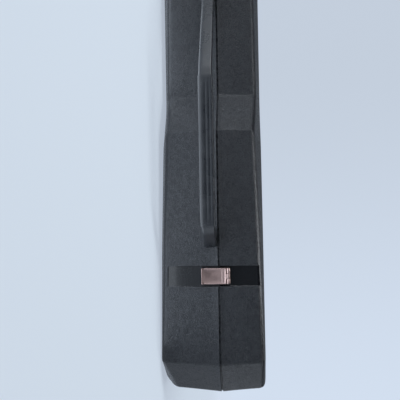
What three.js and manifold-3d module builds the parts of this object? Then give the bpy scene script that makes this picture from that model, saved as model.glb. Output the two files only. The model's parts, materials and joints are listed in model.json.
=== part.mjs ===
// Hard case for an electric guitar: two moulded shells, hinges, snap latches, handle and padded inside.
// Millimetres. +X points to the tail end, -Y to the handle edge, +Z to the lid.
import * as THREE from 'three';
import { mergeVertices } from 'three/addons/utils/BufferGeometryUtils.js';
import Module from 'manifold-3d';

const wasm = await Module();
wasm.setup();

// Plan of the shells
const caseLength = 1070;
const tailHalfWidth = 195;
const waistHalfWidth = 181;
const neckHalfWidth = 135;
const tailEndHalfWidth = 152;
const headEndHalfWidth = 92;
const tailChamferLength = 50;
const headChamferLength = 50;
const waistFromTail = 375;
const rampLength = 57;
const flareLength = 165;
const cornerRound = 14;
const rampRound = 9;
const flareRound = 260;

// Depths, walls and slopes of the shells
const baseDepth = 83;
const lidDepth = 62;
const wall = 3.5;
const draft = Math.tan(THREE.MathUtils.degToRad(5));
const seamGap = 0.3;
const seamRound = 1.3;
const lapHeight = 4;
const lapOuterWall = 1.6;
const fit = 0.4;
const seat = 0.3;
const overrun = 5;

// Shoulders between the side wall and the broad face: how far they drop and how far they run in
const baseShoulders = {
  tail: { drop: 15, run: 17 },
  hip: { drop: 2, run: 8 },
  flare: { drop: 6.5, run: 26 },
  waist: { drop: 10, run: 48 },
  neck: { drop: 8, run: 42 },
  head: { drop: 16, run: 38 },
};
const lidShoulders = {
  tail: { drop: 4, run: 8 },
  hip: { drop: 2.5, run: 8 },
  flare: { drop: 6, run: 24 },
  waist: { drop: 10.5, run: 44 },
  neck: { drop: 6.5, run: 40 },
  head: { drop: 12, run: 34 },
};
const shoulderRound = 7;
const maxCornerShare = 0.45;

// Channels and latches on the handle edge
const channelWidth = 28;
const channelDepth = 6;
const latchFromTail = [171, 700];
const latchFromHead = 110;
const latchWidth = 22;
const plateThickness = 1.2;
const strikeHeight = 17;
const strikeBelowSeam = 3;
const beadHeight = 0.7;
const beadWidth = 3;
const latchAxisAboveSeam = 13;
const latchPinRadius = 1.1;
const knuckleWall = 1.2;
const leafAboveSeam = 1.5;
const flapReach = 24;
const flapThickness = 2;
const flapLift = 3.2;
const flapEdge = 0.5;
const lipHeight = 1.6;
const lipLength = 2.4;

// Hinges on the back edge
const hingeFromTail = [95, 330];
const hingeWidth = 44;
const hingeLeafHeight = 25;
const hingeLeafThickness = 1.5;
const hingePinRadius = 1.5;
const hingeKnuckleWall = 1.6;
const hingeKnuckles = 5;

// Rivets
const rivetShank = 1.4;
const rivetHead = 2.6;
const rivetHeadHeight = 0.9;
const rivetTail = 2.4;
const rivetTailHeight = 0.9;
const latchRivetSpread = 13;
const hingeRivetSpread = 28;
const hingeRivetShare = 0.6;

// Handle
const handleBelowSeam = 12;
const handleWidth = 20;
const handleThickness = 19;
const gripHeight = 46;
const gripFromTail = 243;
const gripLength = 201;
const lowerLegRun = 27;
const upperLegRun = 156;
const handleBend = 12;
const handleEdge = 3.5;
const screwRadius = 2;
const screwHeadRadius = 3.8;
const screwHeadHeight = 2.2;
const screwCrownShare = 0.7;
const screwGrip = 9;
const screwSpread = 10;
const lowerFootShare = 0.7;
const upperFootShare = 0.89;
const backingLength = 34;
const backingHeight = 20;
const backingThickness = 2;

// Padding and pockets
const insertGap = 1.2;
const insertSink = 6;
const linerWall = 3;
const linerCrown = 11;
const linerStart = 8;
const bodyPocketFloor = 20;
const bodyPocketFromTail = 24;
const lowerBoutLength = 250;
const lowerBoutWall = 29;
const upperBoutLength = 230;
const upperBoutWall = 55;
const bodyPocketLength = 425;
const waistPocketWall = 69;
const neckPocketHalfWidth = 36;
const neckPocketFloor = 44;
const headPocketFloor = 26;
const headPocketWall = 51;
const headPocketLength = 205;
const headPocketFromHead = 34;
const pocketCorner = 24;
const boxFromHead = 330;
const boxLength = 180;
const boxWidth = 72;
const boxFloor = 13;
const boxSideFoam = 10;
const boxLidThickness = 5;
const boxLidLedge = 5;
const boxLidTop = 46;
const boxCorner = 6;
const tabWidth = 16;
const tabReach = 14;
const tabThickness = 1.2;
const restFromHead = 268;
const restLength = 34;
const restHeight = 28;
const restNotchRadius = 26;
const restNotchDepth = 15;

// Fineness of the meshes
const cornerSteps = 3;
const blendSteps = 3;
const pinSides = 12;
const rivetSides = 8;
const boutSides = 16;

// Places that follow from the sizes
const tailX = caseLength / 2;
const headX = -caseLength / 2;
const seamZ = baseDepth;
const lidZ = seamZ + seamGap;
const caseHeight = lidZ + lidDepth;
const latchX = [...latchFromTail.map((distance) => tailX - distance), headX + latchFromHead];
const hingeX = hingeFromTail.map((distance) => tailX - distance);
const hingeKnuckleRadius = hingePinRadius + seat + hingeKnuckleWall;
const hingeAxisOut = hingeKnuckleRadius + seat;
const latchKnuckleRadius = latchPinRadius + seat + knuckleWall;
const waistX = tailX - waistFromTail;
const neckX = waistX - rampLength;

// Colours and finishes
const finishes = {
  shell: [0x26282c, 0.55, 0],
  handle: [0x222327, 0.5, 0],
  nickel: [0xb7a79f, 0.3, 1],
  steel: [0x8f9194, 0.4, 1],
  plush: [0x3a3032, 0.95, 0],
  ribbon: [0x1d1b1f, 0.8, 0],
};

function finish(name) {
  const [color, roughness, metalness] = finishes[name];
  return new THREE.MeshStandardMaterial({ color, roughness, metalness });
}

// Solids: a closed geometry becomes a solid that can be joined and cut
function toSolid(geometry) {
  const bare = geometry.clone();
  bare.deleteAttribute('normal');
  bare.deleteAttribute('uv');
  const merged = mergeVertices(bare);
  return new wasm.Manifold(new wasm.Mesh({
    numProp: 3,
    vertProperties: new Float32Array(merged.attributes.position.array),
    triVerts: new Uint32Array(merged.index.array),
  }));
}

function toGeometry(body) {
  const mesh = body.getMesh();
  const geometry = new THREE.BufferGeometry();
  geometry.setAttribute('position', new THREE.BufferAttribute(mesh.vertProperties, mesh.numProp));
  geometry.setIndex(new THREE.BufferAttribute(mesh.triVerts, 1));
  geometry.computeVertexNormals();
  return geometry;
}

function cutAll(body, cutters) {
  return cutters.reduce((rest, cutter) => rest.subtract(cutter), body);
}

function joinAll(solids) {
  return solids.reduce((sum, next) => sum.add(next));
}

function piece(name, shape, finishName) {
  const geometry = shape.isBufferGeometry ? shape : toGeometry(shape);
  const mesh = new THREE.Mesh(geometry, finish(finishName));
  mesh.name = name;
  return mesh;
}

// A block between two corners
function block(low, high) {
  const size = high.map((value, axis) => value - low[axis]);
  const geometry = new THREE.BoxGeometry(...size);
  geometry.translate(...low.map((value, axis) => value + size[axis] / 2));
  return toSolid(geometry);
}

// A profile drawn in Y and Z, drawn out along X about its middle
const sideways = new THREE.Matrix4().makeBasis(
  new THREE.Vector3(0, 1, 0), new THREE.Vector3(0, 0, 1), new THREE.Vector3(1, 0, 0));

function alongX(points, length) {
  const shape = new THREE.Shape(points.map(([y, z]) => new THREE.Vector2(y, z)));
  const geometry = new THREE.ExtrudeGeometry(shape, { depth: length, bevelEnabled: false });
  geometry.translate(0, 0, -length / 2);
  geometry.applyMatrix4(sideways);
  return toSolid(geometry);
}

function rodAlongX(radius, length, middleX = 0) {
  const geometry = new THREE.CylinderGeometry(radius, radius, length, pinSides);
  geometry.rotateZ(Math.PI / 2);
  geometry.translate(middleX, 0, 0);
  return geometry;
}

// An upright prism over a plan outline
function upright(shape, lowZ, highZ) {
  const geometry = new THREE.ExtrudeGeometry(shape, { depth: highZ - lowZ, bevelEnabled: false });
  geometry.translate(0, 0, lowZ);
  return toSolid(geometry);
}

// A rectangle in plan with rounded corners
function roundedPlan(lowX, lowY, highX, highY, radius) {
  const shape = new THREE.Shape();
  shape.moveTo(lowX + radius, lowY);
  shape.lineTo(highX - radius, lowY);
  shape.quadraticCurveTo(highX, lowY, highX, lowY + radius);
  shape.lineTo(highX, highY - radius);
  shape.quadraticCurveTo(highX, highY, highX - radius, highY);
  shape.lineTo(lowX + radius, highY);
  shape.quadraticCurveTo(lowX, highY, lowX, highY - radius);
  shape.lineTo(lowX, lowY + radius);
  shape.quadraticCurveTo(lowX, lowY, lowX + radius, lowY);
  return new THREE.Shape(shape.getPoints(cornerSteps).slice(0, -1));
}

function ellipsePlan(middleX, length, halfWidth) {
  const shape = new THREE.Shape();
  shape.absellipse(middleX, 0, length / 2, halfWidth, 0, 2 * Math.PI);
  return new THREE.Shape(shape.getPoints(boutSides).slice(0, -1));
}

// Corners of the shells in plan, counted round from the tail end on the hinge edge
const corners = [
  { x: tailX, y: tailEndHalfWidth, round: cornerRound, zone: 'tail' },
  { x: tailX - tailChamferLength, y: tailHalfWidth, round: cornerRound, zone: 'hip' },
  { x: waistX, y: tailHalfWidth, round: rampRound, zone: 'waist' },
  { x: neckX, y: neckHalfWidth, round: rampRound, zone: 'neck' },
  { x: headX + headChamferLength, y: neckHalfWidth, round: cornerRound, zone: 'head' },
  { x: headX, y: headEndHalfWidth, round: cornerRound, zone: 'head' },
  { x: headX, y: -headEndHalfWidth, round: cornerRound, zone: 'head' },
  { x: headX + headChamferLength, y: -neckHalfWidth, round: cornerRound, zone: 'head' },
  { x: neckX, y: -neckHalfWidth, round: rampRound, zone: 'neck' },
  { x: waistX, y: -waistHalfWidth, round: rampRound, zone: 'waist' },
  { x: waistX + flareLength, y: -tailHalfWidth, round: flareRound, zone: 'flare' },
  { x: tailX - tailChamferLength, y: -tailHalfWidth, round: cornerRound, zone: 'hip' },
  { x: tailX, y: -tailEndHalfWidth, round: cornerRound, zone: 'tail' },
].map((corner) => ({ ...corner, at: new THREE.Vector2(corner.x, corner.y) }));

const neighbour = (index, step) => corners[(index + step + corners.length) % corners.length];

// Where a corner goes when both of its walls move inwards by one unit, and which way it turns
corners.forEach((corner, index) => {
  const before = corner.at.clone().sub(neighbour(index, -1).at).normalize();
  const after = neighbour(index, 1).at.clone().sub(corner.at).normalize();
  const inwardBefore = new THREE.Vector2(-before.y, before.x);
  const inwardAfter = new THREE.Vector2(-after.y, after.x);
  const share = 1 + inwardBefore.dot(inwardAfter);
  corner.inward = inwardBefore.add(inwardAfter).divideScalar(share);
  corner.turn = Math.abs(before.angleTo(after));
  corner.bulges = before.cross(after) > 0;
});

// One ring round the case: each corner has its own inset and height there
function ring(insetOf, heightOf) {
  const moved = corners.map((corner) => corner.at.clone().addScaledVector(corner.inward, insetOf(corner)));
  return corners.flatMap((corner, index) => {
    const last = moved[(index - 1 + corners.length) % corners.length];
    const next = moved[(index + 1) % corners.length];
    const here = moved[index];
    const grown = corner.bulges ? corner.round - insetOf(corner) : corner.round + insetOf(corner);
    const wanted = Math.max(grown, wall) * Math.tan(corner.turn / 2);
    const shorter = Math.min(here.distanceTo(last), here.distanceTo(next));
    const reach = Math.min(wanted, shorter * maxCornerShare);
    const start = last.clone().sub(here).setLength(reach).add(here);
    const end = next.clone().sub(here).setLength(reach).add(here);
    const curve = new THREE.QuadraticBezierCurve(start, here, end);
    return curve.getPoints(cornerSteps).map(({ x, y }) => new THREE.Vector3(x, y, heightOf(corner)));
  });
}

// A closed solid through a stack of rings, with a flat cap on the first and the last
function ringSolid(rings) {
  const count = rings[0].length;
  const positions = rings.flat().flatMap(({ x, y, z }) => [x, y, z]);
  const index = [];
  const climbs = rings[rings.length - 1][0].z > rings[0][0].z;
  const face = (a, b, c) => index.push(...(climbs ? [a, b, c] : [a, c, b]));
  rings.slice(1).forEach((upper, level) => {
    for (let side = 0; side < count; side += 1) {
      const lowA = level * count + side;
      const lowB = level * count + ((side + 1) % count);
      face(lowA, lowB, lowB + count);
      face(lowA, lowB + count, lowA + count);
    }
  });
  const flat = (points) => points.map(({ x, y }) => new THREE.Vector2(x, y));
  const top = (rings.length - 1) * count;
  THREE.ShapeUtils.triangulateShape(flat(rings[0]), []).forEach(([a, b, c]) => face(a, c, b));
  THREE.ShapeUtils.triangulateShape(flat(rings[rings.length - 1]), [])
    .forEach(([a, b, c]) => face(top + a, top + b, top + c));
  const geometry = new THREE.BufferGeometry();
  geometry.setAttribute('position', new THREE.Float32BufferAttribute(positions, 3));
  geometry.setIndex(index);
  return toSolid(geometry);
}

// The section of a shell at one corner, from its rim to its broad face, as inset and depth from the seam.
// The surface lies inside the outer one by `inside` on the walls and by `crown` on the broad face.
function section(shoulder, depth, inside, crown) {
  const footDepth = depth - crown - shoulder.drop;
  const foot = new THREE.Vector2(inside + draft * footDepth, footDepth);
  const edge = new THREE.Vector2(foot.x + shoulder.run, depth - crown);
  const middle = edge.clone().add(new THREE.Vector2(shoulderRound, 0));
  const up = new THREE.Vector2(-draft, -1).multiplyScalar(shoulderRound).add(foot);
  const along = edge.clone().sub(foot);
  const reach = Math.min(shoulderRound, along.length() * maxCornerShare);
  const past = along.clone().setLength(reach).add(foot);
  const before = along.clone().setLength(-reach).add(edge);
  const footBlend = new THREE.QuadraticBezierCurve(up, foot, past).getPoints(blendSteps);
  const edgeBlend = new THREE.QuadraticBezierCurve(before, edge, middle).getPoints(blendSteps - 1);
  return [...footBlend, ...edgeBlend];
}

// Rings of a shell surface below (side -1) or above (side 1) the seam
function shellRings(shoulders, depth, side, seam, inside, crown) {
  const sections = new Map(corners.map((corner) => [
    corner, section(shoulders[corner.zone], depth, inside, crown)]));
  const levels = sections.get(corners[0]).length;
  return Array.from({ length: levels }, (_, level) => ring(
    (corner) => sections.get(corner)[level].x,
    (corner) => seam + side * sections.get(corner)[level].y));
}

const levelRing = (inset, z) => ring(() => inset, () => z);
const tongueInset = lapOuterWall + fit;

// Outer form and hollow of the base
function baseOuter(grow = 0) {
  const rim = [
    levelRing(tongueInset - grow, seamZ + lapHeight),
    levelRing(tongueInset - grow, seamZ + grow),
    levelRing(seamRound - grow, seamZ + grow),
    levelRing(-grow, seamZ - seamRound),
  ];
  return ringSolid([...rim, ...shellRings(baseShoulders, baseDepth, -1, seamZ, -grow, 0)]);
}

function baseHollow(inside, crown) {
  const rim = [levelRing(inside, seamZ + lapHeight + overrun), levelRing(inside, seamZ)];
  return ringSolid([...rim, ...shellRings(baseShoulders, baseDepth, -1, seamZ, inside, crown)]);
}

// Outer form and hollow of the lid
function lidOuter() {
  const rim = [levelRing(seamRound, lidZ), levelRing(0, lidZ + seamRound)];
  return ringSolid([...rim, ...shellRings(lidShoulders, lidDepth, 1, lidZ, 0, 0)]);
}

function lidHollow() {
  const rim = [
    levelRing(lapOuterWall, lidZ - overrun),
    levelRing(lapOuterWall, seamZ + lapHeight + fit),
    levelRing(wall, seamZ + lapHeight + fit),
  ];
  return ringSolid([...rim, ...shellRings(lidShoulders, lidDepth, 1, lidZ, wall, wall)]);
}

// Handle edge of the case at a place along it: how far out it lies and how far it turns from +X
const outline = levelRing(0, seamZ);

function frontWall(x) {
  const from = outline.findIndex((point, index) => {
    const next = outline[(index + 1) % outline.length];
    return next.y < 0 && point.x <= x && x < next.x;
  });
  const start = outline[from];
  const run = outline[(from + 1) % outline.length].clone().sub(start);
  return { y: start.y + run.y * (x - start.x) / run.x, turn: Math.atan2(run.y, run.x) };
}

const frontY = (x) => frontWall(x).y;

const channelFloorY = (x) => frontY(x) + channelDepth;
const draftTurn = Math.atan(draft);

// The channel that a latch lies in, and the wall that stands behind it
function channelCut(x) {
  return block(
    [x - channelWidth / 2, frontY(x) - overrun, -overrun],
    [x + channelWidth / 2, channelFloorY(x), caseHeight + overrun]);
}

function channelBacking(x, lowZ, highZ, extra = 0) {
  const half = channelWidth / 2 + wall + extra;
  return block([x - half, frontY(x), lowZ], [x + half, channelFloorY(x) + wall + extra, highZ]);
}

// Rivet along its own +Y, with its seat at the origin and its tail behind `grip` of material
const domeShares = [[1, 0], [0.92, 0.45], [0.6, 0.85], [0, 1]];

function rivetGeometry(grip) {
  const tailEnd = -grip - rivetTailHeight;
  const dome = domeShares.map(([radiusShare, heightShare]) => (
    [rivetHead * radiusShare, seat + rivetHeadHeight * heightShare]));
  const points = [[0, tailEnd], [rivetTail, tailEnd], [rivetTail, -grip], [rivetShank, -grip],
    [rivetShank, seat], ...dome];
  return new THREE.LatheGeometry(points.map(([x, y]) => new THREE.Vector2(x, y)), rivetSides);
}

// Room that a rivet needs in what it passes through
function rivetHole() {
  const length = 2 * (wall + overrun);
  return new THREE.CylinderGeometry(rivetShank + seat, rivetShank + seat, length, rivetSides);
}

// A screw along its own +Y, with its head's seat at the origin
function screwGeometry(length) {
  const points = [[0, -screwHeadHeight], [screwHeadRadius * screwCrownShare, -screwHeadHeight],
    [screwHeadRadius, -screwHeadHeight / 2], [screwHeadRadius, 0], [screwRadius, 0],
    [screwRadius, length - screwRadius], [0, length]];
  return new THREE.LatheGeometry(points.map(([x, y]) => new THREE.Vector2(x, y)), pinSides);
}

// A place in the case: a point and the turns that lead from +Y to the outward direction
function place(x, y, z, turnX, turnZ = 0) {
  const spot = new THREE.Group();
  spot.position.set(x, y, z);
  spot.rotation.set(turnX, 0, turnZ, 'ZYX');
  spot.updateMatrixWorld();
  return spot;
}

const carved = (geometry, spot) => toSolid(geometry.clone().applyMatrix4(spot.matrixWorld));

// Latches: the flap hangs from a leaf on the lid, covers its rivets and snaps over a bead on the base
const leafRivetZ = seamZ + leafAboveSeam + rivetHead + seat;

function latchSpots(x) {
  const floor = channelFloorY(x);
  const sides = [-1, 1].map((side) => x + side * latchRivetSpread / 2);
  return {
    strike: sides.map((spotX) => place(spotX, floor, seamZ - strikeBelowSeam - strikeHeight / 2, Math.PI)),
    leaf: sides.map((spotX) => place(spotX, floor, leafRivetZ, Math.PI)),
  };
}

const latchRivet = rivetGeometry(wall + plateThickness + 2 * seat);

const knuckleMiddle = (index, width, count) => (index + 1 / 2) * width / count - width / 2;

function knuckleRods(radius, width, count, parity) {
  const step = width / count;
  return Array.from({ length: count }, (_, index) => index)
    .filter((index) => index % 2 === parity)
    .map((index) => toSolid(rodAlongX(radius, step - seat, knuckleMiddle(index, width, count))));
}

// Room for the other leaf's knuckles, which are a little wider and larger than the knuckles
function knuckleRoom(radius, width, count, parity) {
  const step = width / count;
  return Array.from({ length: count }, (_, index) => index)
    .filter((index) => index % 2 === parity)
    .map((index) => toSolid(rodAlongX(radius + fit, step + seat, knuckleMiddle(index, width, count))));
}

const latchAxisOut = latchKnuckleRadius + seat;
const latchKnuckleCount = 3;

// Knuckles of one leaf round its pin, with the rest of the leaf cut clear of the other's knuckles
function knuckled(plate, radius, pinRadius, width, count, parity) {
  const clear = cutAll(plate, knuckleRoom(radius, width, count, 1 - parity));
  const room = toSolid(rodAlongX(pinRadius + seat, width + overrun));
  return joinAll([clear, ...knuckleRods(radius, width, count, parity)]).subtract(room);
}

function latchLeaf() {
  const plate = block(
    [-latchWidth / 2, latchAxisOut - seat - plateThickness, leafAboveSeam - latchAxisAboveSeam],
    [latchWidth / 2, latchAxisOut - seat, 0]);
  return knuckled(plate, latchKnuckleRadius, latchPinRadius, latchWidth, latchKnuckleCount, 0);
}

// The flap in section: a plate with a lifted lip at its free end
function latchFlap() {
  const inner = latchAxisOut - flapLift;
  const outer = inner - flapThickness;
  const free = -(flapReach + latchAxisAboveSeam);
  const plate = alongX([
    [inner, 0], [inner, free + lipLength], [inner - lipHeight, free], [outer - lipHeight, free],
    [outer - lipHeight, free + flapEdge], [outer, free + lipLength], [outer, 0],
  ], latchWidth);
  return knuckled(plate, latchKnuckleRadius, latchPinRadius, latchWidth, latchKnuckleCount, 1);
}

function latchStrike(x) {
  const floor = channelFloorY(x) - seat;
  const high = seamZ - strikeBelowSeam;
  const plate = block(
    [x - latchWidth / 2, floor - plateThickness, high - strikeHeight], [x + latchWidth / 2, floor, high]);
  const beadLow = high - beadWidth;
  const bead = block(
    [x - latchWidth / 2 + beadWidth, floor - plateThickness - beadHeight, beadLow],
    [x + latchWidth / 2 - beadWidth, floor, high]);
  return plate.add(bead);
}

function addLatch(parent, number, x) {
  const spots = latchSpots(x);
  const holes = spots.strike.map((spot) => carved(rivetHole(), spot));
  parent.add(piece(`latch_${number}_strike`, cutAll(latchStrike(x), holes), 'nickel'));

  const axis = new THREE.Group();
  axis.position.set(x, channelFloorY(x) - latchAxisOut, seamZ + latchAxisAboveSeam);
  axis.updateMatrixWorld();
  const back = axis.matrixWorld.clone().invert();
  const leafHoles = spots.leaf.map((spot) => (
    toSolid(rivetHole().applyMatrix4(spot.matrixWorld).applyMatrix4(back))));
  axis.add(piece(`latch_${number}_leaf`, cutAll(latchLeaf(), leafHoles), 'nickel'));
  axis.add(piece(`latch_${number}_flap`, latchFlap(), 'nickel'));
  axis.add(piece(`latch_${number}_pin`, rodAlongX(latchPinRadius, latchWidth), 'steel'));
  parent.add(axis);

  Object.entries(spots).forEach(([plate, pair]) => pair.forEach((spot, index) => {
    const rivet = piece(`latch_${number}_${plate}_rivet_${index + 1}`, latchRivet, 'nickel');
    rivet.position.set(0, plateThickness + seat, 0);
    spot.add(rivet);
    parent.add(spot);
  }));
}

// Hinges: each leaf lies on its drafted wall and carries every other knuckle
function hingeSpots(x, side) {
  const drop = side * hingeLeafHeight * hingeRivetShare;
  const y = tailHalfWidth - Math.abs(drop) * draft;
  return [-1, 1].map((way) => place(
    x + way * hingeRivetSpread / 2, y, seamZ + seamGap / 2 + drop, side * draftTurn));
}

function hingeLeaf(side) {
  const wallOut = (height) => seat - hingeAxisOut - height * draft;
  const plate = alongX([
    [wallOut(seat), side * seat], [wallOut(seat) + hingeLeafThickness, side * seat],
    [wallOut(hingeLeafHeight) + hingeLeafThickness, side * hingeLeafHeight],
    [wallOut(hingeLeafHeight), side * hingeLeafHeight],
  ], hingeWidth);
  const parity = side < 0 ? 0 : 1;
  return knuckled(plate, hingeKnuckleRadius, hingePinRadius, hingeWidth, hingeKnuckles, parity);
}

const hingeRivet = rivetGeometry(wall + hingeLeafThickness + 2 * seat);

function addHinge(parent, number, x) {
  const axis = new THREE.Group();
  axis.position.set(x, tailHalfWidth + hingeAxisOut, seamZ + seamGap / 2);
  axis.updateMatrixWorld();
  const back = axis.matrixWorld.clone().invert();
  [['base', -1], ['lid', 1]].forEach(([half, side]) => {
    const spots = hingeSpots(x, side);
    const holes = spots.map((spot) => (
      toSolid(rivetHole().applyMatrix4(spot.matrixWorld).applyMatrix4(back))));
    axis.add(piece(`hinge_${number}_${half}_leaf`, cutAll(hingeLeaf(side), holes), 'nickel'));
    spots.forEach((spot, index) => {
      const rivet = piece(`hinge_${number}_${half}_rivet_${index + 1}`, hingeRivet, 'nickel');
      rivet.position.set(0, hingeLeafThickness + seat, 0);
      spot.add(rivet);
      parent.add(spot);
    });
  });
  axis.add(piece(`hinge_${number}_pin`, rodAlongX(hingePinRadius, hingeWidth), 'steel'));
  parent.add(axis);
}

// Handle: one moulded bar that steps down from the body side to the neck side
const handleZ = seamZ - handleBelowSeam;
const gripY = -tailHalfWidth - gripHeight + handleThickness / 2;
const gripStartX = tailX - gripFromTail;
const gripEndX = gripStartX - gripLength;
const handlePath = [
  new THREE.Vector2(gripStartX + lowerLegRun, -tailHalfWidth + handleThickness / 2),
  new THREE.Vector2(gripStartX, gripY),
  new THREE.Vector2(gripEndX, gripY),
  new THREE.Vector2(gripEndX - upperLegRun, -neckHalfWidth + handleThickness / 2),
];

// The edge of a bar beside its middle line, with mitred corners
function besidePath(path, offset) {
  return path.map((point, index) => {
    const before = path[Math.max(index - 1, 0)];
    const after = path[Math.min(index + 1, path.length - 1)];
    const normals = [[before, point], [point, after]]
      .map(([a, b]) => b.clone().sub(a))
      .filter((way) => way.length() > 0)
      .map((way) => new THREE.Vector2(-way.y, way.x).normalize());
    const sum = normals.reduce((total, normal) => total.clone().add(normal));
    const share = normals.length === 1 ? 1 : 1 + normals[0].dot(normals[1]);
    return point.clone().addScaledVector(sum, offset / share);
  });
}

function roundedShape(points, radii) {
  const rounded = points.flatMap((point, index) => {
    const last = points[(index - 1 + points.length) % points.length];
    const next = points[(index + 1) % points.length];
    const reach = Math.min(radii[index], maxCornerShare * point.distanceTo(last));
    const start = last.clone().sub(point).setLength(reach).add(point);
    const end = next.clone().sub(point).setLength(reach).add(point);
    return new THREE.QuadraticBezierCurve(start, point, end).getPoints(cornerSteps);
  });
  return new THREE.Shape(rounded);
}

function handleBar() {
  const half = handleThickness / 2 - handleEdge;
  const outer = besidePath(handlePath, half);
  const inner = besidePath(handlePath, -half).reverse();
  const small = handleEdge;
  const radii = [small, handleBend, handleBend, small, small, handleBend, handleBend, small];
  const shape = roundedShape([...outer, ...inner], radii);
  const geometry = new THREE.ExtrudeGeometry(shape, {
    depth: handleWidth - 2 * handleEdge,
    bevelSize: handleEdge,
    bevelThickness: handleEdge,
    bevelSegments: cornerSteps,
  });
  geometry.translate(0, 0, handleZ - handleWidth / 2 + handleEdge);
  return toSolid(geometry);
}

// Feet of the handle: where its screws come through the wall
function footSpots(x) {
  const { y, turn } = frontWall(x);
  const foot = place(x, y + handleBelowSeam * draft, handleZ, Math.PI + draftTurn, turn);
  const inner = wall + backingThickness + 2 * seat;
  return [-1, 1].map((side) => {
    const spot = new THREE.Group();
    spot.position.set(0, -inner, side * screwSpread / 2);
    foot.add(spot);
    foot.updateMatrixWorld();
    return spot;
  }).map((spot) => ({ foot, spot }));
}

const lowerFootX = gripStartX + lowerLegRun * lowerFootShare;
const upperFootX = gripEndX - upperLegRun * upperFootShare;

function backingPlate() {
  const geometry = new THREE.BoxGeometry(backingLength, backingThickness, backingHeight);
  geometry.translate(0, -wall - seat - backingThickness / 2, 0);
  return geometry;
}

function screwHole() {
  const length = wall + backingThickness + screwGrip + 2 * seat + fit;
  const geometry = new THREE.CylinderGeometry(screwRadius + seat, screwRadius + seat, length, pinSides);
  geometry.translate(0, length / 2 - seat, 0);
  return geometry;
}

// Flat seat on the inside of the wall for a foot's backing plate
function footSeat() {
  const geometry = new THREE.BoxGeometry(
    backingLength + 2 * seat, backingThickness + 2 * seat, backingHeight + 2 * seat);
  geometry.translate(0, -wall - seat - backingThickness / 2, 0);
  return geometry;
}

// Room behind the wall for a foot's backing plate and screw heads
function footRoom() {
  const depth = wall + backingThickness + screwHeadHeight + insertGap;
  const geometry = new THREE.BoxGeometry(
    backingLength + 2 * insertGap, depth, backingHeight + 2 * insertGap);
  geometry.translate(0, -depth / 2, 0);
  return geometry;
}

const feet = [['lower', lowerFootX], ['upper', upperFootX]]
  .map(([name, x]) => ({ name, spots: footSpots(x) }));
const screwCuts = feet.flatMap(({ spots }) => spots.map(({ spot }) => carved(screwHole(), spot)));

function addHandle(parent) {
  const bar = cutAll(handleBar(), [baseOuter(seat), ...screwCuts]);
  parent.add(piece('handle', bar, 'handle'));
  const screwLength = wall + backingThickness + screwGrip;
  let number = 1;
  feet.forEach(({ name, spots }) => {
    const { foot } = spots[0];
    const back = foot.matrixWorld.clone().invert();
    const holes = spots.map(({ spot }) => (
      toSolid(screwHole().applyMatrix4(spot.matrixWorld).applyMatrix4(back))));
    foot.add(piece(`handle_${name}_backing_plate`, cutAll(toSolid(backingPlate()), holes), 'steel'));
    spots.forEach(({ spot }) => {
      spot.add(piece(`handle_screw_${number}`, screwGeometry(screwLength), 'steel'));
      number += 1;
    });
    parent.add(foot);
  });
}

// Room inside the shells for the tails of the rivets
function rivetRoom(spot) {
  const depth = wall + rivetTailHeight + 2 * insertGap;
  const geometry = new THREE.BoxGeometry(
    2 * (rivetTail + insertGap), 2 * depth, 2 * (rivetTail + insertGap));
  return toSolid(geometry.applyMatrix4(spot.matrixWorld));
}

const strikeSpots = latchX.flatMap((x) => latchSpots(x).strike);
const leafSpots = latchX.flatMap((x) => latchSpots(x).leaf);
const baseHingeSpots = hingeX.flatMap((x) => hingeSpots(x, -1));
const lidHingeSpots = hingeX.flatMap((x) => hingeSpots(x, 1));
const rivetHoles = (spots) => spots.map((spot) => carved(rivetHole(), spot));

// Base shell, with channels, the walls behind them and the holes for its rivets and screws
function baseShell() {
  const backings = latchX.map((x) => channelBacking(x, -overrun, seamZ));
  const hollow = cutAll(baseHollow(wall, wall), backings);
  const cuts = latchX.map(channelCut);
  const lapBreaks = latchX.map((x) => channelBacking(x, seamZ, seamZ + lapHeight + overrun, fit));
  const holes = [...rivetHoles([...strikeSpots, ...baseHingeSpots]), ...screwCuts];
  const footSeats = feet.map(({ spots }) => carved(footSeat(), spots[0].foot));
  return cutAll(baseOuter(), [hollow, ...cuts, ...lapBreaks, ...holes, ...footSeats]);
}

function lidShell() {
  const backings = latchX.map((x) => channelBacking(x, lidZ, caseHeight + overrun));
  const hollow = cutAll(lidHollow(), backings);
  const cuts = latchX.map(channelCut);
  return cutAll(lidOuter(), [hollow, ...cuts, ...rivetHoles([...leafSpots, ...lidHingeSpots])]);
}

// Pockets of the insert, cut down from its top
const insertTop = seamZ - insertSink;
const pocketTop = insertTop + overrun;
const bodyPocketEnd = tailX - bodyPocketFromTail;
const upperBoutX = bodyPocketEnd - bodyPocketLength + upperBoutLength / 2;
const lowerBoutX = bodyPocketEnd - lowerBoutLength / 2;
const headPocketX = headX + headPocketFromHead;
const boxX = headX + boxFromHead;
const boxHighY = neckHalfWidth - wall - insertGap - boxSideFoam - draft * (seamZ - boxFloor);
const boxLowY = boxHighY - boxWidth;
const restX = headX + restFromHead;
const lowerBoutHalfWidth = tailHalfWidth - lowerBoutWall;
const upperBoutHalfWidth = waistHalfWidth - upperBoutWall;
const waistPocketHalfWidth = waistHalfWidth - waistPocketWall;
const headPocketHalfWidth = neckHalfWidth - headPocketWall;

function bodyPocket() {
  const lowerPlan = ellipsePlan(lowerBoutX, lowerBoutLength, lowerBoutHalfWidth);
  const upperPlan = ellipsePlan(upperBoutX, upperBoutLength, upperBoutHalfWidth);
  const lower = upright(lowerPlan, bodyPocketFloor, pocketTop);
  const upper = upright(upperPlan, bodyPocketFloor, pocketTop);
  const waist = block(
    [upperBoutX, -waistPocketHalfWidth, bodyPocketFloor], [lowerBoutX, waistPocketHalfWidth, pocketTop]);
  return joinAll([lower, upper, waist]);
}

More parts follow.
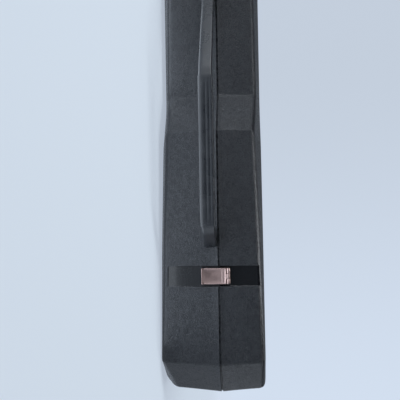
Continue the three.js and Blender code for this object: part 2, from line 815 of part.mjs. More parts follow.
function neckPocket() {
  return block(
    [headPocketX + pocketCorner, -neckPocketHalfWidth, neckPocketFloor],
    [upperBoutX, neckPocketHalfWidth, pocketTop]);
}

function headPocket() {
  const plan = roundedPlan(
    headPocketX, -headPocketHalfWidth, headPocketX + headPocketLength, headPocketHalfWidth, pocketCorner);
  return upright(plan, headPocketFloor, pocketTop);
}

function accessoryPocket() {
  const well = roundedPlan(boxX, boxLowY, boxX + boxLength, boxHighY, boxCorner);
  const ledge = block(
    [boxX - boxLidLedge, boxLowY - boxLidLedge, boxLidTop - boxLidThickness - seat],
    [boxX + boxLength + boxLidLedge, boxHighY + boxLidLedge, pocketTop]);
  return upright(well, boxFloor, pocketTop).add(ledge);
}

function baseInsert() {
  const form = ringSolid([
    levelRing(wall + insertGap + draft * insertSink, insertTop),
    ...shellRings(baseShoulders, baseDepth, -1, seamZ, wall + insertGap, wall + seat)]);
  const behindChannels = latchX.map((x) => channelBacking(x, -overrun, insertTop + overrun, insertGap));
  const rooms = [...strikeSpots, ...baseHingeSpots].map(rivetRoom);
  const footRooms = feet.map(({ spots }) => carved(footRoom(), spots[0].foot));
  const pockets = [bodyPocket(), neckPocket(), headPocket(), accessoryPocket()];
  return cutAll(form, [...behindChannels, ...rooms, ...footRooms, ...pockets]);
}

// A notched block that carries the neck
function neckRest() {
  const half = neckPocketHalfWidth - seat;
  const low = neckPocketFloor + seat;
  const body = block([restX, -half, low], [restX + restLength, half, low + restHeight]);
  const notch = rodAlongX(restNotchRadius, restLength + 2 * overrun);
  notch.translate(restX + restLength / 2, 0, low + restHeight - restNotchDepth + restNotchRadius);
  return body.subtract(toSolid(notch));
}

function boxLid() {
  const reach = boxLidLedge - fit;
  const plan = roundedPlan(
    boxX - reach, boxLowY - reach, boxX + boxLength + reach, boxHighY + reach, boxCorner);
  return upright(plan, boxLidTop - boxLidThickness, boxLidTop);
}

function boxTab() {
  const middle = boxX + boxLength / 2;
  const low = boxLowY - boxLidLedge + fit;
  return block(
    [middle - tabWidth / 2, low, boxLidTop + seat],
    [middle + tabWidth / 2, low + tabReach, boxLidTop + seat + tabThickness]);
}

function lidLiner() {
  const startZ = lidZ + linerStart;
  const outerInset = wall + fit;
  const outer = ringSolid([
    levelRing(outerInset + draft * linerStart, startZ),
    ...shellRings(lidShoulders, lidDepth, 1, lidZ, outerInset, wall + seat)]);
  const inner = ringSolid([
    levelRing(outerInset + linerWall, startZ - overrun),
    ...shellRings(lidShoulders, lidDepth, 1, lidZ, outerInset + linerWall, wall + seat + linerCrown)]);
  const behindChannels = latchX.map((x) => channelBacking(x, lidZ, caseHeight, fit));
  const rooms = [...leafSpots, ...lidHingeSpots].map(rivetRoom);
  return cutAll(outer, [inner, ...behindChannels, ...rooms]);
}

// The whole case, set with the middle of its outer box over the origin
const guitarCase = new THREE.Group();
guitarCase.add(piece('base_shell', baseShell(), 'shell'));
guitarCase.add(piece('lid_shell', lidShell(), 'shell'));
guitarCase.add(piece('base_insert', baseInsert(), 'plush'));
guitarCase.add(piece('neck_rest', neckRest(), 'plush'));
guitarCase.add(piece('compartment_lid', boxLid(), 'plush'));
guitarCase.add(piece('compartment_tab', boxTab(), 'ribbon'));
guitarCase.add(piece('lid_liner', lidLiner(), 'plush'));
addHandle(guitarCase);
latchX.forEach((x, index) => addLatch(guitarCase, index + 1, x));
hingeX.forEach((x, index) => addHinge(guitarCase, index + 1, x));
const hingeOut = tailHalfWidth + hingeAxisOut + hingeKnuckleRadius;
guitarCase.position.y = (tailHalfWidth + gripHeight - hingeOut) / 2;

export default guitarCase;
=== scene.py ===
import json
import math

import bmesh
import bpy
import numpy as np
from mathutils import Matrix, Quaternion, Vector, noise

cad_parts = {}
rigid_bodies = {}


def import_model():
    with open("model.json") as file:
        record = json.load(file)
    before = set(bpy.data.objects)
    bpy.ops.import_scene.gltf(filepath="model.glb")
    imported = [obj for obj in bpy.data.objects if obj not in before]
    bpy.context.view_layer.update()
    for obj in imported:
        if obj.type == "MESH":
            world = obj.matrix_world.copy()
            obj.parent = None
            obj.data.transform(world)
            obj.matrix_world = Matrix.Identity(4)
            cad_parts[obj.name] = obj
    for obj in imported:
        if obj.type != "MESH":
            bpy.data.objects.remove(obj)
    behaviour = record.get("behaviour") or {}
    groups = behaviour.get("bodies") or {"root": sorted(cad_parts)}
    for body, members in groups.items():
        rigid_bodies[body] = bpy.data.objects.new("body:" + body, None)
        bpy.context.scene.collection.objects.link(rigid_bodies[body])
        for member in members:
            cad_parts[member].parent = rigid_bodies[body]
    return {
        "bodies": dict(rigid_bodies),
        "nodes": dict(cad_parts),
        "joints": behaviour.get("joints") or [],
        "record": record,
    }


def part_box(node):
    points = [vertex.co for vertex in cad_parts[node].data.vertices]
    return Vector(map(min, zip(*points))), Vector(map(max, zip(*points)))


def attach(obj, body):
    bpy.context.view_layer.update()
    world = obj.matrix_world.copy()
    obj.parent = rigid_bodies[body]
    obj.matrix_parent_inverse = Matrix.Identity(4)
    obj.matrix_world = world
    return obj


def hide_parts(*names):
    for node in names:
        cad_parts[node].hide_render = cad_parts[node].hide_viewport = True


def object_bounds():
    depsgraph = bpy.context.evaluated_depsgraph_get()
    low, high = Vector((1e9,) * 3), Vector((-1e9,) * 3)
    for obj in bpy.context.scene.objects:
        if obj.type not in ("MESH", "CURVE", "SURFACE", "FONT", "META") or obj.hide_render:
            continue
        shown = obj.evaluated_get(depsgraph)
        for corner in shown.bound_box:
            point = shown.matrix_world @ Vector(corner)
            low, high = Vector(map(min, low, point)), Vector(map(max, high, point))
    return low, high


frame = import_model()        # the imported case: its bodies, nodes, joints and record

cad_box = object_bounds()

# Base shell
# The deeper half of the case, moulded in one piece from black plastic with a leather grain. Its rim
# carries a tongue for the lid to drop over, and its handle edge has a smooth channel at each latch.
base_low, base_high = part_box("base_shell")
lap_height = 0.004
lap_slack = 0.0004
seam_z = base_high.z - lap_height
tail_x = base_high.x
head_x = base_low.x
middle_y = (base_low.y + base_high.y) / 2
tail_half_width = (base_high.y - base_low.y) / 2
waist_half_width = 0.181
neck_half_width = 0.135
tail_end_half_width = 0.152
head_end_half_width = 0.092
waist_x = tail_x - 0.375
neck_x = waist_x - 0.057
flare_x = waist_x + 0.165
tail_chamfer = 0.050
head_chamfer = 0.050
corner_round = 0.014
ramp_round = 0.009
flare_round = 0.260
wall = 0.0035
draft = math.tan(math.radians(5))
shoulder_round = 0.007
seam_round = 0.0013
rim_profile = [
    (0.00006, 0.92), (0.0002, 0.84), (0.0005, 0.68), (0.001, 0.42), (0.00135, 0.2), (0.00145, 0)]
tongue_inset = 0.002
tongue_edge = 0.0003
corner_share = 0.45
corner_steps = 8
column_step = 0.022
wall_levels = 6
slope_levels = 3
base_shoulders = {
    "tail": (0.015, 0.017),
    "hip": (0.002, 0.008),
    "flare": (0.0065, 0.026),
    "waist": (0.010, 0.048),
    "neck": (0.008, 0.042),
    "head": (0.016, 0.038),
}
corners = [
    (tail_x, tail_end_half_width, corner_round, "tail"),
    (tail_x - tail_chamfer, tail_half_width, corner_round, "hip"),
    (waist_x, tail_half_width, ramp_round, "waist"),
    (neck_x, neck_half_width, ramp_round, "neck"),
    (head_x + head_chamfer, neck_half_width, corner_round, "head"),
    (head_x, head_end_half_width, corner_round, "head"),
    (head_x, -head_end_half_width, corner_round, "head"),
    (head_x + head_chamfer, -neck_half_width, corner_round, "head"),
    (neck_x, -neck_half_width, ramp_round, "neck"),
    (waist_x, -waist_half_width, ramp_round, "waist"),
    (flare_x, -tail_half_width, flare_round, "flare"),
    (tail_x - tail_chamfer, -tail_half_width, corner_round, "hip"),
    (tail_x, -tail_end_half_width, corner_round, "tail"),
]
corner_points = np.array([corner[:2] for corner in corners])
corner_zones = [corner[3] for corner in corners]

# Channels for the latches: how far inside its edge each column lies, and its share of the full depth
channel_depth = 0.006
channel_half_width = 0.014
channel_slack = 0.0003
lining_reach = 1.01
channel_profile = [
    (-0.0012, 0), (-0.0005, 0.02), (-0.00015, 0.08), (0, 0.25),
    (0.0001, 0.8), (0.0003, 0.93), (0.0007, 0.985), (0.0014, 1),
]
latch_places = [
    (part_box(f"latch_{n}_flap")[0].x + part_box(f"latch_{n}_flap")[1].x) / 2 for n in (1, 2, 3)]
lap_break = channel_half_width + wall + lap_slack


def front_wall(x):
    """How far the handle edge lies from the middle of the case at a place along it."""
    widths = [neck_half_width, waist_half_width, tail_half_width]
    return -np.interp(x, [neck_x, waist_x, flare_x], widths)


def unit(way):
    """A way, one metre long."""
    return way / np.linalg.norm(way)


def mitre(index):
    """Where a corner goes for each metre that its walls move in, its turn, and whether it bulges."""
    before = unit(corner_points[index] - corner_points[index - 1])
    after = unit(corner_points[(index + 1) % len(corners)] - corner_points[index])
    inward = np.array([-before[1] - after[1], before[0] + after[0]])
    share = 1 + before @ after
    cross = before[0] * after[1] - before[1] * after[0]
    return inward / share, math.acos(min(before @ after, 1)), cross > 0


corner_mitres = [mitre(index) for index in range(len(corners))]


def bend(start, corner, end, steps):
    """Points of a rounded corner, from start to end."""
    share = np.linspace(0, 1, steps + 1)[:, None]
    return (1 - share) ** 2 * start + 2 * share * (1 - share) * corner + share ** 2 * end


def stretch_stops(index):
    """Columns between a corner and the next one: places along X beside the latches, or else shares."""
    here, following = corner_points[index], corner_points[(index + 1) % len(corners)]
    length = np.linalg.norm(following - here)
    shares = np.linspace(0, 1, max(round(length / column_step), 2) + 1)[1:-1]
    latches = [x for x in latch_places if min(here[0], following[0]) < x < max(here[0], following[0])]
    if here[1] > 0 or not latches:
        return [("share", share) for share in shares]
    plain = here[0] + (following[0] - here[0]) * shares
    keep = [x for x in plain if min(abs(x - latch) for latch in latches) > lap_break + column_step / 4]
    edges = [channel_half_width - inside for inside, _ in channel_profile]
    edges += [0, channel_half_width / 2, lap_break, lap_break + tongue_edge]
    marks = [latch + side * edge for latch in latches for edge in edges for side in (-1, 1)]
    return [("place", x) for x in sorted(set(keep + marks))]


stops = [stretch_stops(index) for index in range(len(corners))]


def plan_ring(insets, heights):
    """One ring round the case, in its own plan: each corner has its own inset and height."""
    count = len(corners)
    moved = [corner_points[i] + corner_mitres[i][0] * insets[i] for i in range(count)]
    lengths = [np.linalg.norm(moved[(i + 1) % count] - moved[i]) for i in range(count)]
    bends = []
    for i in range(count):
        _, turn, bulges = corner_mitres[i]
        grown = corners[i][2] - insets[i] if bulges else corners[i][2] + insets[i]
        shorter = min(lengths[i], lengths[i - 1])
        reach = min(max(grown, wall) * math.tan(turn / 2), shorter * corner_share)
        start = moved[i] + unit(moved[i - 1] - moved[i]) * reach
        end = moved[i] + unit(moved[(i + 1) % count] - moved[i]) * reach
        bends.append(bend(start, moved[i], end, corner_steps))
    points = []
    for i in range(count):
        following = (i + 1) % count
        points += [(x, y, heights[i]) for x, y in bends[i]]
        start, end = bends[i][-1], bends[following][0]
        for kind, stop in stops[i]:
            share = stop if kind == "share" else (stop - start[0]) / (end[0] - start[0])
            x, y = start + (end - start) * share
            points.append((x, y, heights[i] + (heights[following] - heights[i]) * share))
    return np.array(points)


def channel_share(points):
    """How much of a channel's depth each point of a ring takes: none where it lies further inside."""
    share = np.zeros(len(points))
    for x in latch_places:
        inside = channel_half_width - np.abs(points[:, 0] - x)
        depth = np.interp(inside, *zip(*channel_profile), left=0)
        pressed = points[:, 1] < front_wall(x) + channel_depth + channel_slack
        share = np.maximum(share, np.where(pressed, depth, 0))
    return share


def sink_channels(points, lined):
    """Presses the latch channels into a ring. A lined ring is on the inside of the wall."""
    for x in latch_places:
        inside = channel_half_width - np.abs(points[:, 0] - x)
        share = np.interp(inside, *zip(*channel_profile), left=0)
        if lined:
            share = (inside > channel_profile[0][0] * lining_reach).astype(float)
        floor = front_wall(x) + channel_depth + (wall if lined else 0)
        target = np.maximum(points[:, 1], floor)
        points[:, 1] += np.where(points[:, 1] < 0, share * (target - points[:, 1]), 0)
    return points


def break_lap(points, height):
    """Leaves the tongue out beside the latches."""
    for x in latch_places:
        near = (np.abs(points[:, 0] - x) < lap_break + tongue_edge / 2) & (points[:, 1] < 0)
        points[near, 2] = np.minimum(points[near, 2], height)
    return points


def section(shoulder, depth, inside, crown):
    """Inset and depth from the rim to the broad face, at a corner whose shoulder drops and runs in."""
    drop, run = shoulder
    foot_depth = depth - crown - drop
    foot = np.array([inside + draft * foot_depth, foot_depth])
    edge = np.array([foot[0] + run, depth - crown])
    flat = edge + np.array([shoulder_round, 0])
    above = foot - np.array([draft, 1]) * shoulder_round
    along = unit(edge - foot)
    reach = min(shoulder_round, np.linalg.norm(edge - foot) * corner_share)
    past, before = foot + along * reach, edge - along * reach
    start = np.array([inside + draft * seam_round, seam_round])
    walls = [start + (above - start) * share for share in np.linspace(0, 1, wall_levels + 1)[:-1]]
    slope = [past + (before - past) * share for share in np.linspace(0, 1, slope_levels + 1)[1:-1]]
    middle = [flat + np.array([shoulder_round, 0])]
    return np.array([
        *walls, *bend(above, foot, past, corner_steps),
        *slope, *bend(before, edge, flat, corner_steps), *middle])


def surface_rings(shoulders, depth, side, seam, inside, crown, lined):
    """Rings of the outside or the inside of a shell, from its rim to its broad face."""
    sections = [section(shoulders[zone], depth, inside, crown) for zone in corner_zones]
    rings = []
    for level in range(len(sections[0])):
        insets = [points[level][0] for points in sections]
        heights = [seam + side * points[level][1] for points in sections]
        rings.append(sink_channels(plan_ring(insets, heights), lined))
    return rings


def level_ring(inset, height, lined=False):
    """A flat ring with the same inset all round."""
    count = len(corners)
    return sink_channels(plan_ring([inset] * count, [height] * count), lined)


def soften(mesh, sharp=40):
    """Smooth shading, with the edges that turn by more than `sharp` degrees kept crisp."""
    work = bmesh.new()
    work.from_mesh(mesh)
    bmesh.ops.recalc_face_normals(work, faces=work.faces)
    for face in work.faces:
        face.smooth = True
    for edge in work.edges:
        edge.smooth = edge.calc_face_angle(0) < math.radians(sharp)
    work.to_mesh(mesh)
    work.free()


def new_object(name, data):
    """An object in the scene."""
    made = bpy.data.objects.new(name, data)
    bpy.context.scene.collection.objects.link(made)
    return made


def add_piece(name, form, body, slot, *nodes, sharp=40):
    """A mesh piece of a form's points and faces. It rides on a body and stands for solids."""
    mesh = bpy.data.meshes.new(name)
    mesh.from_pydata([tuple(point) for point in form[0]], [], form[1])
    soften(mesh, sharp)
    piece = new_object(name, mesh)
    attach(piece, body)
    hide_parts(*nodes)
    return piece


def ring_faces(count, levels):
    """Four-sided faces between a stack of rings."""
    return [
        (level * count + side, level * count + (side + 1) % count,
         (level + 1) * count + (side + 1) % count, (level + 1) * count + side)
        for level in range(levels - 1) for side in range(count)]


def stack(rings):
    """Points and faces of a closed form through a stack of rings, with a flat face at both ends."""
    count = len(rings[0])
    faces = ring_faces(count, len(rings))
    faces.append(tuple(reversed(range(count))))
    faces.append(tuple(range((len(rings) - 1) * count, len(rings) * count)))
    return np.vstack(rings), faces


# The moulding is slightly wavy, and rubbed smooth on the crest of its shoulder, ring by ring
wave_size = 0.11
wave_depth = 0.0004
shoulder_polish = (0, 0, 0.1, 0.35, 0.75, 0.8, 0.6, 0.3, 0.1)


def coordinates(parts, kind):
    """The places of a mesh's points or their normals, one in each row."""
    rows = np.zeros((len(parts), 3), np.float32)
    parts.foreach_get(kind, rows.ravel())
    return rows


def swell(mesh, depth_at, count=None):
    """Moves the first points of a mesh along their normals, by a depth that depends on their place."""
    places = coordinates(mesh.vertices, "co")
    normals = coordinates(mesh.vertex_normals, "vector")
    depths = np.array([depth_at(place) for place in places[:count]])
    places[:count] += normals[:count] * depths[:, None]
    mesh.vertices.foreach_set("co", places.ravel())
    mesh.update()


def add_shell(name, outer, rim, inner, seam, body, node):
    """A moulded shell: the walls are a little wavy between the rim and the broad face."""
    rings = [*reversed(outer), *rim, *inner]
    for ring in rings:
        ring[:, 1] += middle_y
    shell = add_piece(name, stack(rings), body, "shell_plastic", node)
    count = len(rings[0])
    # The rim, the inside and the latch channels are left ungrained; the material paints them darker, and
    # in the channels and the seam groove that is painted shade.
    grained = np.zeros(len(rings) * count)
    for level, ring in enumerate(reversed(outer)):
        over_foot = len(outer) - 1 - level - wall_levels
        polish = shoulder_polish[over_foot] if 0 <= over_foot < len(shoulder_polish) else 0
        in_channel = channel_share(ring - np.array([0, middle_y, 0]))
        grained[level * count:(level + 1) * count] = (1 - polish) * (1 - in_channel)
    attribute = shell.data.attributes.new("grained", "FLOAT", "POINT")
    attribute.data.foreach_set("value", grained.astype(np.float32))
    depth = abs(rings[0][0][2] - seam)

    def wave(place):
        rise = min(abs(place[2] - seam) / depth, 1)
        return wave_depth * math.sin(math.pi * rise) * (noise.noise((place / wave_size).tolist()) - 1)

    swell(shell.data, wave, len(outer) * count)
    return shell


def bevelled_rim(seam, side):
    """The outer edge of a rim: a deep bevel from the wall in to the seam."""
    return [level_ring(inset, seam + side * seam_round * share) for inset, share in rim_profile]


tongue = [
    (tongue_inset, seam_z), (tongue_inset, seam_z + lap_height - tongue_edge),
    (tongue_inset + tongue_edge, seam_z + lap_height), (wall - tongue_edge, seam_z + lap_height),
    (wall, seam_z + lap_height - tongue_edge), (wall, seam_z),
]
base_outer = surface_rings(base_shoulders, seam_z, -1, seam_z, 0, 0, False)
base_inner = surface_rings(base_shoulders, seam_z, -1, seam_z, wall, wall, True)
base_rim = bevelled_rim(seam_z, -1)
base_rim += [break_lap(level_ring(inset, z, inset > tongue_inset), seam_z) for inset, z in tongue]
base_shell = add_shell(
    "base_shell_moulding", base_outer, base_rim, base_inner, seam_z, "base", "base_shell")


def feed(tree, node, inputs):
    """Gives each input of a node a value or the socket of another node."""
    for name, value in dict(inputs).items():
        if isinstance(value, bpy.types.NodeSocket):
            tree.links.new(value, node.inputs[name])
        else:
            node.inputs[name].default_value = value


def put(tree, kind, inputs=(), **settings):
    """Adds a node."""
    node = tree.nodes.new(kind)
    for name, value in settings.items():
        setattr(node, name, value)
    feed(tree, node, inputs)
    return node


def calc(tree, operation, first, second):
    """The result of a math node."""
    return put(tree, "ShaderNodeMath", {0: first, 1: second}, operation=operation).outputs[0]


def times(tree, first, second):
    """Two values multiplied."""
    return calc(tree, "MULTIPLY", first, second)


def per_metre(tree, size):
    """How many of a size go into a metre: the size is a number or a socket."""
    return calc(tree, "DIVIDE", 1.0, size) if isinstance(size, bpy.types.NodeSocket) else 1 / size


def spread(tree, value, low, high, to_low=0.0, to_high=1.0):
    """A value's range spread smoothly to another range."""
    sockets = {"Value": value, "From Min": low, "From Max": high, "To Min": to_low, "To Max": to_high}
    return put(tree, "ShaderNodeMapRange", sockets, interpolation_type="SMOOTHSTEP").outputs["Result"]


def grains(tree, place, size, detail=2.0):
    """Soft random grains of about a size in metres, from 0 to 1."""
    sockets = {"Vector": place, "Scale": per_metre(tree, size), "Detail": detail}
    return put(tree, "ShaderNodeTexNoise", sockets).outputs["Fac"]


def relief(tree, height, strength):
    """The normals of a relief, from its height in metres."""
    sockets = {"Height": height, "Strength": strength, "Distance": 1.0}
    return put(tree, "ShaderNodeBump", sockets).outputs[0]


def new_group(name, inputs, outputs):
    """A node group whose inputs are numbers: its tree, its inputs, its last node and the place."""
    group = bpy.data.node_groups.new(name, "ShaderNodeTree")
    for label, value in inputs.items():
        socket = group.interface.new_socket(name=label, in_out="INPUT", socket_type="NodeSocketFloat")
        socket.default_value = value
    for label in outputs:
        group.interface.new_socket(name=label, in_out="OUTPUT", socket_type="NodeSocketFloat")
    taken = group.nodes.new("NodeGroupInput").outputs
    given = group.nodes.new("NodeGroupOutput")
    place = put(group, "ShaderNodeTexCoord").outputs["Object"]
    return group, taken, given, place


def leather_grain():
    """Pebbles parted by fine creases, with broad folds as in pressed leather."""
    group, taken, given, place = new_group(
        "leather_grain", {"Pebble": 0.0016, "Fold": 0.007}, ["Height", "Crease"])
    drift = put(group, "ShaderNodeTexNoise", {"Vector": place, "Scale": 260.0, "Detail": 1.0})
    pushed = put(group, "ShaderNodeVectorMath", {
        0: drift.outputs["Color"], 1: (0.0016,) * 3}, operation="MULTIPLY").outputs[0]
    drifted = put(group, "ShaderNodeVectorMath", {0: place, 1: pushed}).outputs[0]
    cells = put(group, "ShaderNodeTexVoronoi", {
        "Vector": drifted, "Scale": per_metre(group, taken["Pebble"])}, feature="DISTANCE_TO_EDGE")
    pebble = spread(group, cells.outputs["Distance"], 0.02, 0.22)
    folds = grains(group, drifted, taken["Fold"], 3.0)
    height = calc(group, "ADD", times(group, pebble, 0.5), times(group, folds, 1.6))
    feed(group, given, {"Height": height, "Crease": calc(group, "SUBTRACT", 1.0, pebble)})
    return group


def edge_wear():
    """Where an edge has been rubbed: 1 on the ridge, 0 away from it."""
    group, taken, given, place = new_group("edge_wear", {"Reach": 0.0015, "Amount": 1.0}, ["Mask"])
    rounded = put(group, "ShaderNodeBevel", {"Radius": taken["Reach"]}, samples=4).outputs["Normal"]
    flat = put(group, "ShaderNodeNewGeometry").outputs["Normal"]
    same = put(group, "ShaderNodeVectorMath", {0: rounded, 1: flat}, operation="DOT_PRODUCT")
    ridge = spread(group, same.outputs["Value"], 0.995, 0.93)
    broken = spread(group, grains(group, place, 0.006, 4.0), 0.3, 0.6)
    feed(group, given, {"Mask": times(group, times(group, ridge, broken), taken["Amount"])})
    return group


def handling():
    """What carrying does to a surface: broad smudges, dust in soft patches and a few fine scratches."""
    group, taken, given, place = new_group(
        "handling", {"Smudge": 0.05, "Scratch": 0.012}, ["Smudges", "Scratches", "Dust"])
    smudges = grains(group, place, taken["Smudge"], 4.0)
    drawn = put(group, "ShaderNodeMapping", {
        "Vector": place, "Scale": (0.05, 1.0, 1.0), "Rotation": (0.3, 0.2, 0.5)}).outputs[0]
    lines = put(group, "ShaderNodeTexNoise", {
        "Vector": drawn, "Scale": times(group, per_metre(group, taken["Scratch"]), 12.0), "Detail": 2.0})
    patches = spread(group, grains(group, place, 0.06), 0.52, 0.7)
    specks = spread(group, grains(group, place, 0.0011, 0.0), 0.66, 0.74)
    feed(group, given, {
        "Smudges": spread(group, smudges, 0.3, 0.7),
        "Scratches": times(group, spread(group, lines.outputs["Fac"], 0.66, 0.72), patches),
        "Dust": times(group, specks, spread(group, smudges, 0.45, 0.75))})
    return group


leather_grain_group = leather_grain()
edge_wear_group = edge_wear()
handling_group = handling()


def placed(tree, group, **values):
    """The outputs of a node group, placed in a material with its own values."""
    node = put(tree, "ShaderNodeGroup", node_tree=group)
    feed(tree, node, values)
    return node.outputs


def tint(tree, factor, first, second):
    """A colour between two, by a mask."""
    sockets = {0: factor}
    for place, colour in ((6, first), (7, second)):
        sockets[place] = colour if isinstance(colour, bpy.types.NodeSocket) else (*colour, 1)
    return put(tree, "ShaderNodeMix", sockets, data_type="RGBA").outputs[2]


def new_material(name):
    """An empty material with its Principled surface."""
    material = bpy.data.materials.new(name)
    material.use_nodes = True
    tree = material.node_tree
    surface = tree.nodes["Principled BSDF"]
    return material, tree, surface


def carried(tree, marks, wear, plain, rubbed, scratch, dust_share):
    """The colour of a plastic that has been carried about: rubbed at its edges, scratched and dusty."""
    worn = tint(tree, wear, plain, rubbed)
    scratched = tint(tree, times(tree, marks["Scratches"], 0.5), worn, scratch)
    return tint(tree, times(tree, marks["Dust"], dust_share), scratched, (0.22, 0.22, 0.23))


def shell_plastic():
    """Black plastic, grained all over apart from the channels and the crest of the shoulders, with
    painted highlight and shade on the grain and painted shade in the channels and the seam groove.
    """
    material, tree, surface = new_material("shell_plastic")
    grained = put(tree, "ShaderNodeAttribute", attribute_name="grained").outputs["Fac"]
    grain = placed(tree, leather_grain_group, Pebble=0.0019, Fold=0.0075)
    wear = placed(tree, edge_wear_group, Reach=0.0012, Amount=0.7)["Mask"]
    marks = placed(tree, handling_group, Smudge=0.07, Scratch=0.015)
    smudged = tint(tree, marks["Smudges"], (0.0085, 0.0105, 0.016), (0.0135, 0.016, 0.022))
    # The high parts of the grain are painted lighter: a painted highlight on the relief.
    grain_relief_highlight = spread(tree, grain["Height"], 0.9, 1.35)
    grain_highlighted = tint(tree, grain_relief_highlight, smudged, (0.030, 0.033, 0.040))
    # Where it is not grained the plastic is smooth and darker. On the crest of the shoulders this is its
    # own finish; in the latch channels and the bevels of the seam groove the darker colour is also
    # painted shade.
    base = tint(tree, grained, (0.0045, 0.005, 0.0065), grain_highlighted)
    creased = times(tree, grain["Crease"], grained)
    # The creases of the grain are painted darker: painted shade.
    crease_shaded_colour = tint(tree, times(tree, creased, 0.6), base, (0.004, 0.005, 0.007))
    colour = carried(tree, marks, wear, crease_shaded_colour, (0.075, 0.078, 0.085), (0.10, 0.10, 0.11), 0.25)
    satin = times(tree, spread(tree, marks["Smudges"], 0, 1, 0.14, 0.22), grained)
    rough = calc(tree, "ADD", calc(tree, "ADD", satin, 0.16), times(tree, creased, 0.2))
    height = times(tree, grain["Height"], times(tree, grained, 0.0007))
    feed(tree, surface, {
        "Base Color": colour, "Roughness": rough, "IOR": 1.5, "Normal": relief(tree, height, 0.8)})
    return material


shell_material = shell_plastic()
base_shell.data.materials.append(shell_material)

# Lid shell
# The shallow half, moulded from the same plastic with a shallower shoulder. Its rim is thinned on
# the inside and drops over the tongue of the base, so that only a narrow groove shows all round.
lid_low, lid_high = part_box("lid_shell")
lid_seam_z = lid_low.z
lid_depth = lid_high.z - lid_seam_z
lap_outer_wall = 0.0016
lap_top = seam_z + lap_height + lap_slack
lid_shoulders = {
    "tail": (0.004, 0.008),
    "hip": (0.0025, 0.008),
    "flare": (0.006, 0.024),
    "waist": (0.0105, 0.044),
    "neck": (0.0065, 0.040),
    "head": (0.012, 0.034),
}
lid_outer = surface_rings(lid_shoulders, lid_depth, 1, lid_seam_z, 0, 0, False)
lid_inner = surface_rings(lid_shoulders, lid_depth, 1, lid_seam_z, wall, wall, True)
lid_rim = bevelled_rim(lid_seam_z, 1)
lid_rim += [level_ring(inset, z, True) for inset, z in (
    (lap_outer_wall, lid_seam_z), (lap_outer_wall, lap_top), (wall, lap_top))]
lid_shell = add_shell(
    "lid_shell_moulding", lid_outer, lid_rim, lid_inner, lid_seam_z, "lid", "lid_shell")
lid_shell.data.materials.append(shell_material)

# Hinges
# Two butt hinges of pressed nickel-plated steel on the straight back edge, riveted through both shells.
# Three knuckles grow from the base leaf and two from the lid leaf, round a steel pin.
hinge_knuckle_radius = 0.0034
hinge_bore = 0.0018
hinge_gap = 0.0003
hinge_leaf_height = 0.025
hinge_leaf_thickness = 0.0015
hinge_corner = 0.004
hinge_clearance = 0.0004
hinge_knuckles = 5
hinge_edge = 0.00035
round_share = 0.3        # how far in the middle of a rounded edge lies
pin_dome = 0.25
pin_end = 0.6
knuckle_sides = 32
lap_middle = (seam_z + lid_seam_z) / 2
back_wall = middle_y + tail_half_width


def lathe(profile, sides, closed=False):
    """Points and faces of a turned form about X, from places along it and radii."""
    turns = np.linspace(0, 2 * math.pi, sides, endpoint=False)
    points = [(x, r * math.cos(t), r * math.sin(t)) for x, r in profile for t in turns]
    faces = ring_faces(sides, len(profile))
    last = (len(profile) - 1) * sides
    if closed:
        faces += [(last + k, last + (k + 1) % sides, (k + 1) % sides, k) for k in range(sides)]
    else:
        faces += [tuple(reversed(range(sides))), tuple(range(last, last + sides))]
    return np.array(points), faces


def moved(form, matrix):
    """A form somewhere else."""
    return np.array([matrix @ Vector(point) for point in form[0]]), form[1]


def shifted(form, place):
    """A form moved without turning."""
    return moved(form, Matrix.Translation(place))


def together(*forms):
    """One form from several."""
    points, faces, count = [], [], 0
    for form_points, form_faces in forms:
        points.append(form_points)
        faces += [tuple(count + corner for corner in face) for face in form_faces]
        count += len(form_points)
    return np.vstack(points), faces


def mirrored(profile):
    """A profile and its mirror image across zero."""
    return [*profile, *((-x, r) for x, r in reversed(profile))]


def knuckle_row(width, count, parity, radius, bore, edge):
    """Every other rolled knuckle of a leaf: tubes along X with rounded ends."""
    step = width / count
    half = (step - hinge_gap) / 2
    inner = edge * round_share
    end = [(half - edge, radius), (half - inner, radius - inner), (half, radius - edge), (half, bore)]
    tube = lathe(mirrored(end), knuckle_sides, closed=True)
    return together(*[
        shifted(tube, ((index + 0.5) * step - width / 2, 0, 0)) for index in range(parity, count, 2)])


def form_of(work):
    """The points and faces of a bmesh, which is then freed."""
    work.verts.index_update()
    points = np.array([vertex.co[:] for vertex in work.verts])
    faces = [tuple(vertex.index for vertex in face.verts) for face in work.faces]
    work.free()
    return points, faces


def pressed_plate(outline, thickness, edge):
    """A plate from Y zero to its thickness, over an outline in X and Z, with rounded edges."""
    work = bmesh.new()
    face = work.faces.new([work.verts.new((x, 0, z)) for x, z in outline])
    raised = bmesh.ops.extrude_face_region(work, geom=[face])["geom"]
    for vertex in raised:
        if isinstance(vertex, bmesh.types.BMVert):
            vertex.co.y = thickness
    rims = [line for line in work.edges if abs(line.verts[0].co.y - line.verts[1].co.y) < edge / 2]
    bmesh.ops.bevel(work, geom=rims, offset=edge, segments=3, profile=0.5, affect="EDGES")
    return form_of(work)


def quarter(x, z, radius, start, steps=6):
    """Points of a quarter round about a middle."""
    turns = start + np.linspace(0, math.pi / 2, steps + 1)
    return [(x + radius * math.cos(t), z + radius * math.sin(t)) for t in turns]


def leaf_outline(width, low, corner, count, parity, top, notch):
    """A hinge leaf in plan: rounded below, and notched beside the pin for the other leaf's knuckles."""
    step, half = width / count, width / 2
    line = []
    for index in reversed(range(count)):
        own = index % 2 == parity
        level = top if own else notch
        slack = hinge_clearance if own else 0
        right, left = min((index + 1) * step - slack, width), max(index * step + slack, 0)
        line += [(right - half, level), (left - half, level)]
    line[0], line[-1] = (half, line[0][1]), (-half, line[-1][1])
    return [*line, *quarter(corner - half, low + corner, corner, math.pi),
            *quarter(half - corner, low + corner, corner, 1.5 * math.pi)]


